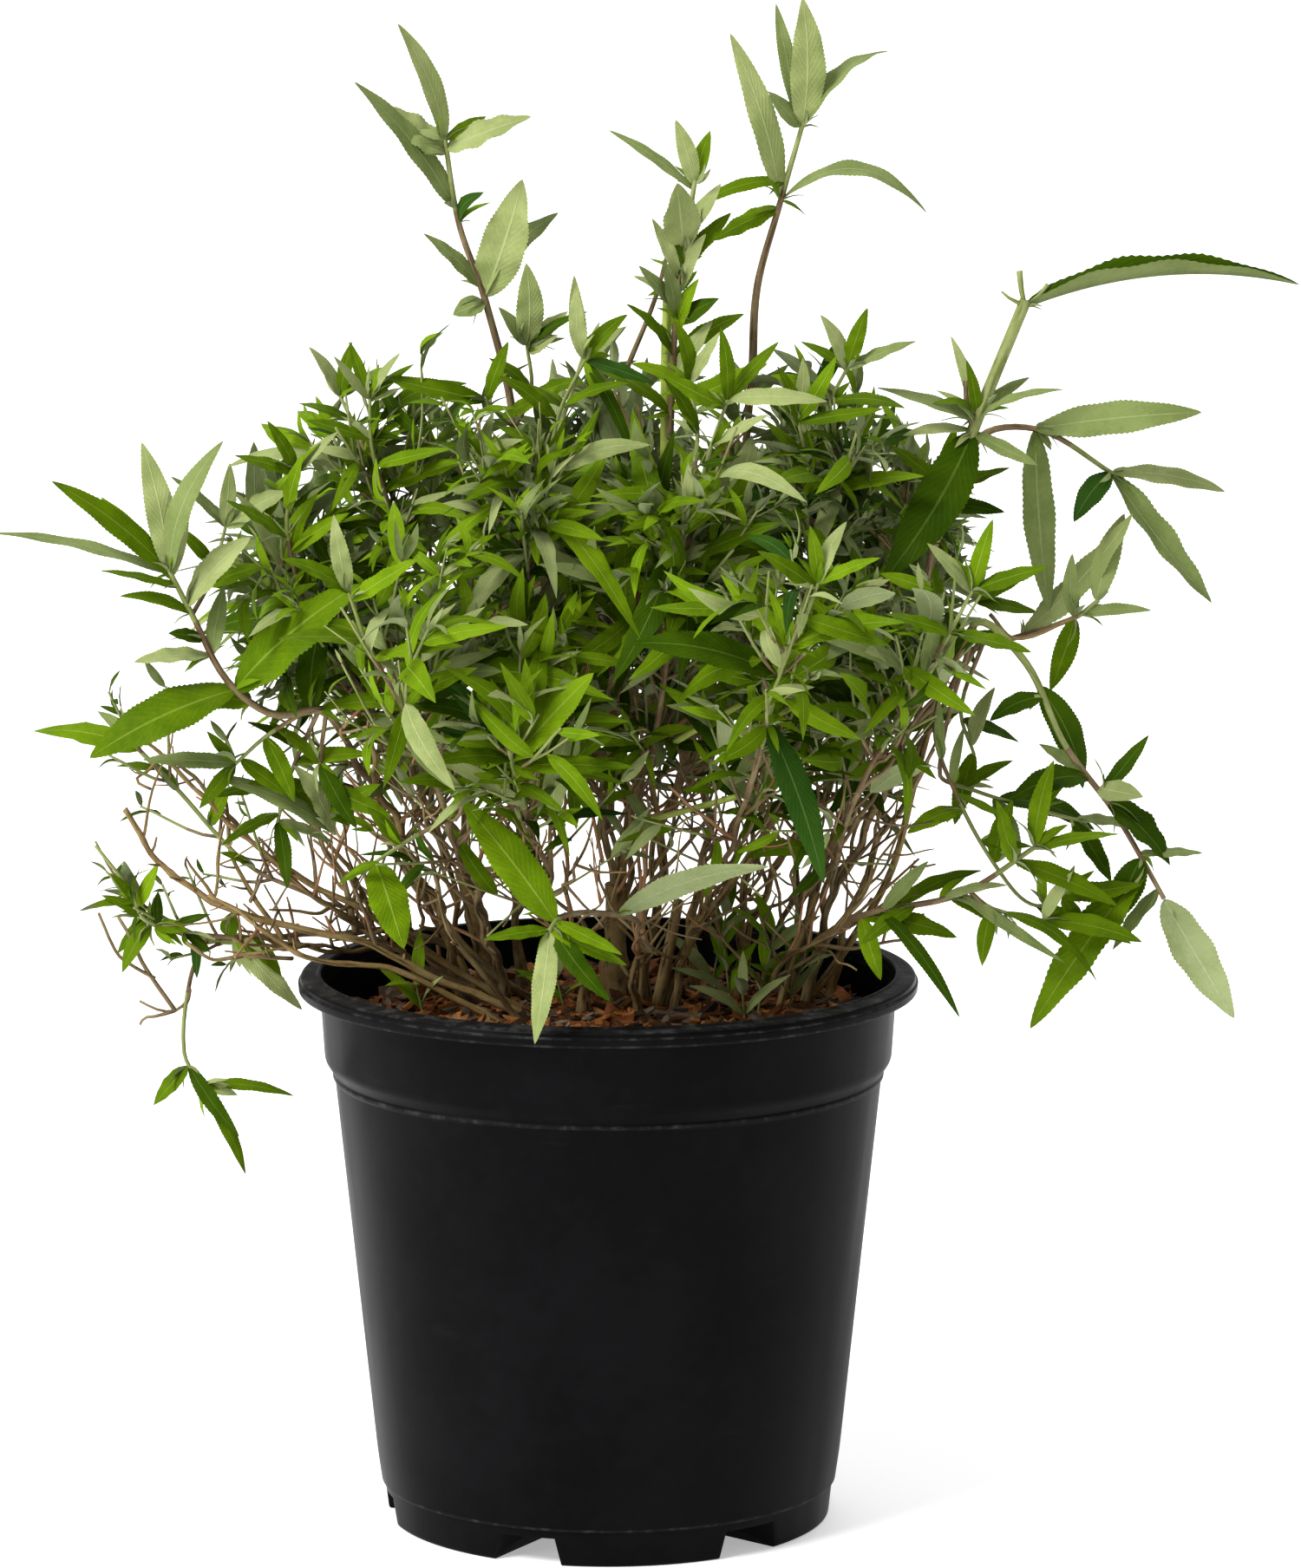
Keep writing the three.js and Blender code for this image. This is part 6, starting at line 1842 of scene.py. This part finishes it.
@dataclass(frozen=True)
class Pot:
    """The nursery pot, with its profile as (radius, height, rounding) corners."""

    outside: tuple = (
        (0, 0, 0), (101.2, 0, 1.6), (103.0, 16.2, 0.4), (104.4, 16.8, 0.4), (104.5, 17.8, 0.5),
        (106.3, 30.0, 6.0), (124.6, 204.2, 0.6), (125.6, 205.0, 0.5), (125.8, 206.4, 0.5),
        (125.3, 207.6, 0.5), (129.2, 213.4, 2.2), (131.2, 244.8, 0.8), (139.6, 244.6, 0.4),
        (140.9, 245.0, 0.5), (141.2, 248.6, 0.4), (140.2, 249.2, 0.4), (140.0, 251.2, 1.2),
        (138.2, 252.1, 1.0),
    )
    inside: tuple = (
        (133.0, 252.0, 0.6), (132.2, 252.9, 0.5), (131.0, 252.9, 0.5), (130.5, 251.5, 0.5),
        (129.6, 245.0, 0.8), (127.7, 213.5, 1.2), (123.7, 207.5, 1.2), (104.3, 26.0, 3.0), (99.0, 13.5, 3.0),
        (0, 13.5, 0),
    )
    steps: int = 144
    channels: int = 6
    first: float = -51.0
    width: float = 19.0
    height: float = 12.8
    slope: float = 3.4

    def channel(self, made: BMesh, index: int) -> None:
        """Adds one drain channel's wedge, with sides that slope in towards its roof."""
        middle = math.radians(self.first + 360 * index / self.channels)
        half = math.radians(self.width / 2)
        aside = Vector((-math.sin(middle), math.cos(middle), 0))
        corners = []
        for z in (-2.0, self.height):
            for radius, angle in ((38, -half), (118, -half), (118, half), (38, half)):
                place = Vector((radius * math.cos(middle + angle), radius * math.sin(middle + angle), z))
                if z > 0:
                    place -= aside * math.copysign(self.slope, angle)
                corners.append(made.verts.new(place * MM))
        for loop in ((3, 2, 1, 0), (4, 5, 6, 7), (0, 1, 5, 4), (1, 2, 6, 5), (2, 3, 7, 6), (3, 0, 4, 7)):
            made.faces.new([corners[k] for k in loop])

    def build(self, material: Material) -> Object:
        """Builds the pot."""
        profile = filleted(self.outside + self.inside)
        mesh = finish_mesh(spun("pot", profile, self.steps), "nursery_pot", 35)
        pot = new_object("nursery_pot", mesh, [material])
        cutter_shape = bmesh.new()
        for index in range(self.channels):
            self.channel(cutter_shape, index)
        bmesh.ops.recalc_face_normals(cutter_shape, faces=cutter_shape.faces)
        cutter = new_object("channel_cutter", finish_mesh(cutter_shape, "channel_cutter", 30), [material])
        cut = pot.modifiers.new("channels", "BOOLEAN")
        cut.operation, cut.solver, cut.object = "DIFFERENCE", "EXACT", cutter
        soften = pot.modifiers.new("softened", "BEVEL")
        soften.width, soften.segments, soften.limit_method = 0.7 * MM, 2, "ANGLE"
        soften.angle_limit = math.radians(50)
        mesh = bpy.data.meshes.new_from_object(pot.evaluated_get(bpy.context.evaluated_depsgraph_get()))
        pot.modifiers.clear()
        pot.data = mesh
        mesh.shade_smooth()
        mesh.set_sharp_from_angle(angle=math.radians(35))
        bpy.data.objects.remove(cutter, do_unlink=True)
        return pot


@dataclass(frozen=True)
class Mix:
    """The fill under the chips, its top uneven."""

    profile: tuple = ((0, 13.8), (98.6, 13.8), (103.9, 26.0), (123.3, 207.6), (127.3, 213.7), (127.9, 224.0))
    top: float = 230.6
    edge: float = 127.0
    rings: int = 46
    steps: int = 144

    def build(self, material: Material) -> Object:
        """Builds the fill."""
        radii = np.linspace(self.edge, 0, self.rings + 1)
        profile = list(self.profile) + [(float(r), self.top) for r in radii]
        made = spun("mix", profile, self.steps)
        for vertex in made.verts:
            if vertex.co.z > (self.top - 1) * MM:
                rough = noise.fractal(vertex.co * 130, 0.8, 2.1, 4) + 0.5 * noise.noise(vertex.co * 40)
                edge = max(0.0, vertex.co.xy.length / MM - LEVEL_REACH) * 0.2
                vertex.co.z += (1.6 * rough - edge) * MM
        return new_object("mix_fill", finish_mesh(made, "mix_fill", 50), [material])


@dataclass(frozen=True)
class Chips:
    """Bark chips over the mix: split slabs with bevelled ends, lying every way."""

    count: int = 2500
    reach: float = 117.5
    seed: int = 4242

    def build(self, materials: Sequence[Material]) -> Object:
        """Builds the chips as one joined mesh."""
        arrays = Arrays()
        random = Seeded(self.seed)
        corners = np.array([(x, y, z) for z in (-1, 1) for x, y in (
            (-1, -0.5), (-0.6, -1), (0.7, -0.9), (1, -0.2), (0.85, 0.8), (-0.1, 1), (-0.9, 0.7))], float)
        n = 7
        sides = [(k, (k + 1) % n, n + (k + 1) % n) for k in range(n)]
        sides += [(k, n + (k + 1) % n, n + k) for k in range(n)]
        bottom = [(0, k + 1, k) for k in range(1, n - 1)]
        top = [(n, n + k, n + k + 1) for k in range(1, n - 1)]
        faces = np.array(sides + bottom + top)
        for k in range(self.count):
            radius = self.reach * math.sqrt(random())
            angle = random.within(0, 2 * math.pi)
            long = random.within(2.0, 4.6) if k % 5 > 1 else random.within(5.5, 12)
            slender = (0.3, 0.62) if k % 5 > 1 else (0.13, 0.3)
            size = np.array((long, long * random.within(*slender), long * random.within(0.07, 0.16)))
            rough = np.array([[random.about(1) for _ in range(3)] for _ in corners])
            shape = corners * size * (1 + 0.22 * rough)
            shape[:, 0] += shape[:, 2] * random.about(0.8)
            spin, tip, roll = random.within(0, 6.28), random.about(0.5), random.about(0.5)
            turn = np.array(Matrix.Rotation(spin, 3, "Z") @ Matrix.Rotation(tip, 3, "Y")
                            @ Matrix.Rotation(roll, 3, "X"))
            fall = max(0.0, radius - LEVEL_REACH) * 0.16
            level = CHIPS_LEVEL + random.within(0, 2.6) - fall
            rest = np.array((radius * math.cos(angle), radius * math.sin(angle), level))
            points = shape @ turn.T + rest
            slots = np.full(len(faces), min(len(materials) - 1, int(random() ** 1.25 * len(materials))))
            arrays.add(points, faces, slots, np.zeros((len(faces), 3, 2)), np.ones(len(points), bool))
        return arrays.piece("bark_chips", "chip", materials)


CHIP_FINISHES = (
    ChipFinish("chip_red_brown", (0.36, 0.125, 0.032), (0.15, 0.045, 0.011)),
    ChipFinish("chip_brown", (0.17, 0.07, 0.024), (0.06, 0.023, 0.008)),
    ChipFinish("chip_orange", (0.56, 0.24, 0.065), (0.27, 0.095, 0.022)),
    ChipFinish("chip_dark", (0.05, 0.025, 0.012), (0.02, 0.011, 0.006)),
    ChipFinish("chip_grey", (0.24, 0.19, 0.13), (0.12, 0.09, 0.06)),
)
MIX_FINISH = ChipFinish("mix_fines", (0.08, 0.034, 0.016), (0.022, 0.011, 0.006), 400.0)


# ---- the studio

@dataclass(frozen=True)
class Studio:
    """A pale floor, soft lights and the camera."""

    floor_radius: float = 60.0
    camera: tuple = (0.01926, -3.3, 0.89305)
    aim: tuple = (0.01926, 0.0, 0.33864)
    lens: float = 169.4

    def floor(self) -> None:
        """Lays the floor."""
        shape = bmesh.new()
        bmesh.ops.create_circle(shape, cap_ends=True, segments=96, radius=self.floor_radius)
        mesh = bpy.data.meshes.new("studio_floor")
        shape.to_mesh(mesh)
        shape.free()
        material, _, surface = new_material("studio_floor", 0.6, 0.2)
        surface.inputs["Base Color"].default_value = (0.9, 0.9, 0.9, 1)
        surface.inputs["Emission Color"].default_value = (1, 1, 1, 1)
        surface.inputs["Emission Strength"].default_value = 0.38
        new_object("studio_floor", mesh, [material])

    def light(self, name: str, place: Sequence[float], spread: float, strength: float) -> None:
        """Sets one far soft light, turned to the plant."""
        data = bpy.data.lights.new(name, "SUN")
        data.angle, data.energy = math.radians(spread), strength
        lamp = bpy.data.objects.new(name, data)
        lamp.location = place
        lamp.rotation_euler = (Vector((0, 0, 0.35)) - Vector(place)).to_track_quat("-Z", "Y").to_euler()
        bpy.context.scene.collection.objects.link(lamp)

    def build(self) -> None:
        """Builds the studio."""
        scene = bpy.context.scene
        self.floor()
        self.light("key_light", (-1.8, -1.6, 2.8), 20, 2.75)
        self.light("fill_light", (-2.9, -1.9, 0.8), 30, 1.7)
        self.light("top_light", (0.4, 1.5, 2.6), 50, 1.5)
        world = bpy.data.worlds.new("studio_air")
        world.use_nodes = True
        world.node_tree.nodes["Background"].inputs["Color"].default_value = (1, 1, 1, 1)
        world.node_tree.nodes["Background"].inputs["Strength"].default_value = 0.36
        scene.world = world
        data = bpy.data.cameras.new("camera")
        data.lens, data.sensor_width, data.clip_end = self.lens, 36, 200
        camera = bpy.data.objects.new("camera", data)
        camera.location = self.camera
        way = Vector(self.aim) - Vector(self.camera)
        camera.rotation_euler = way.to_track_quat("-Z", "Y").to_euler()
        scene.collection.objects.link(camera)
        scene.camera = camera
        scene.view_settings.view_transform = "Standard"
        scene.view_settings.look = "None"


# ---- putting it together

def settle(piece: Object, nodes: Sequence[str] = ()) -> None:
    """Makes a piece ride on the plant's body and the nodes that it stands for."""
    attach(piece, BODY)
    if nodes:
        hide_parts(*nodes)
    LOG.info("%s: %d faces", piece.name, len(piece.data.polygons))


def main() -> None:
    """Builds the pot, the mix and the plant, then the studio."""
    logging.basicConfig(level=logging.INFO, format="%(name)s %(message)s")
    groups = Groups()
    leaf_materials = [finish.material(groups) for finish in LEAF_FINISHES]
    stem_materials = [finish.material(groups) for finish in STEM_FINISHES]
    chip_materials = [finish.material(groups) for finish in CHIP_FINISHES]
    settle(Pot().build(PotPlastic().material(groups)), ("pot",))
    settle(Mix().build(MIX_FINISH.material(groups)), ("potting_mix",))
    settle(Chips().build(chip_materials))
    bush = Bush()
    bush.grow()
    limbs = [fork.name for fork in FORKS]
    limbs += [("bough_" if isinstance(shoot.foot, str) else "stem_") + shoot.name for shoot in SHOOTS]
    settle(bush.wood.piece(stem_materials), limbs)
    settle(bush.twigs.piece(stem_materials))
    settle(bush.shoots.piece(stem_materials))
    for name, leaves in bush.leaves.items():
        settle(leaves.piece(leaf_materials), ["foliage_" + shoot for shoot in REGIONS[name]])
    Studio().build()


if __name__ == "__main__":
    main()
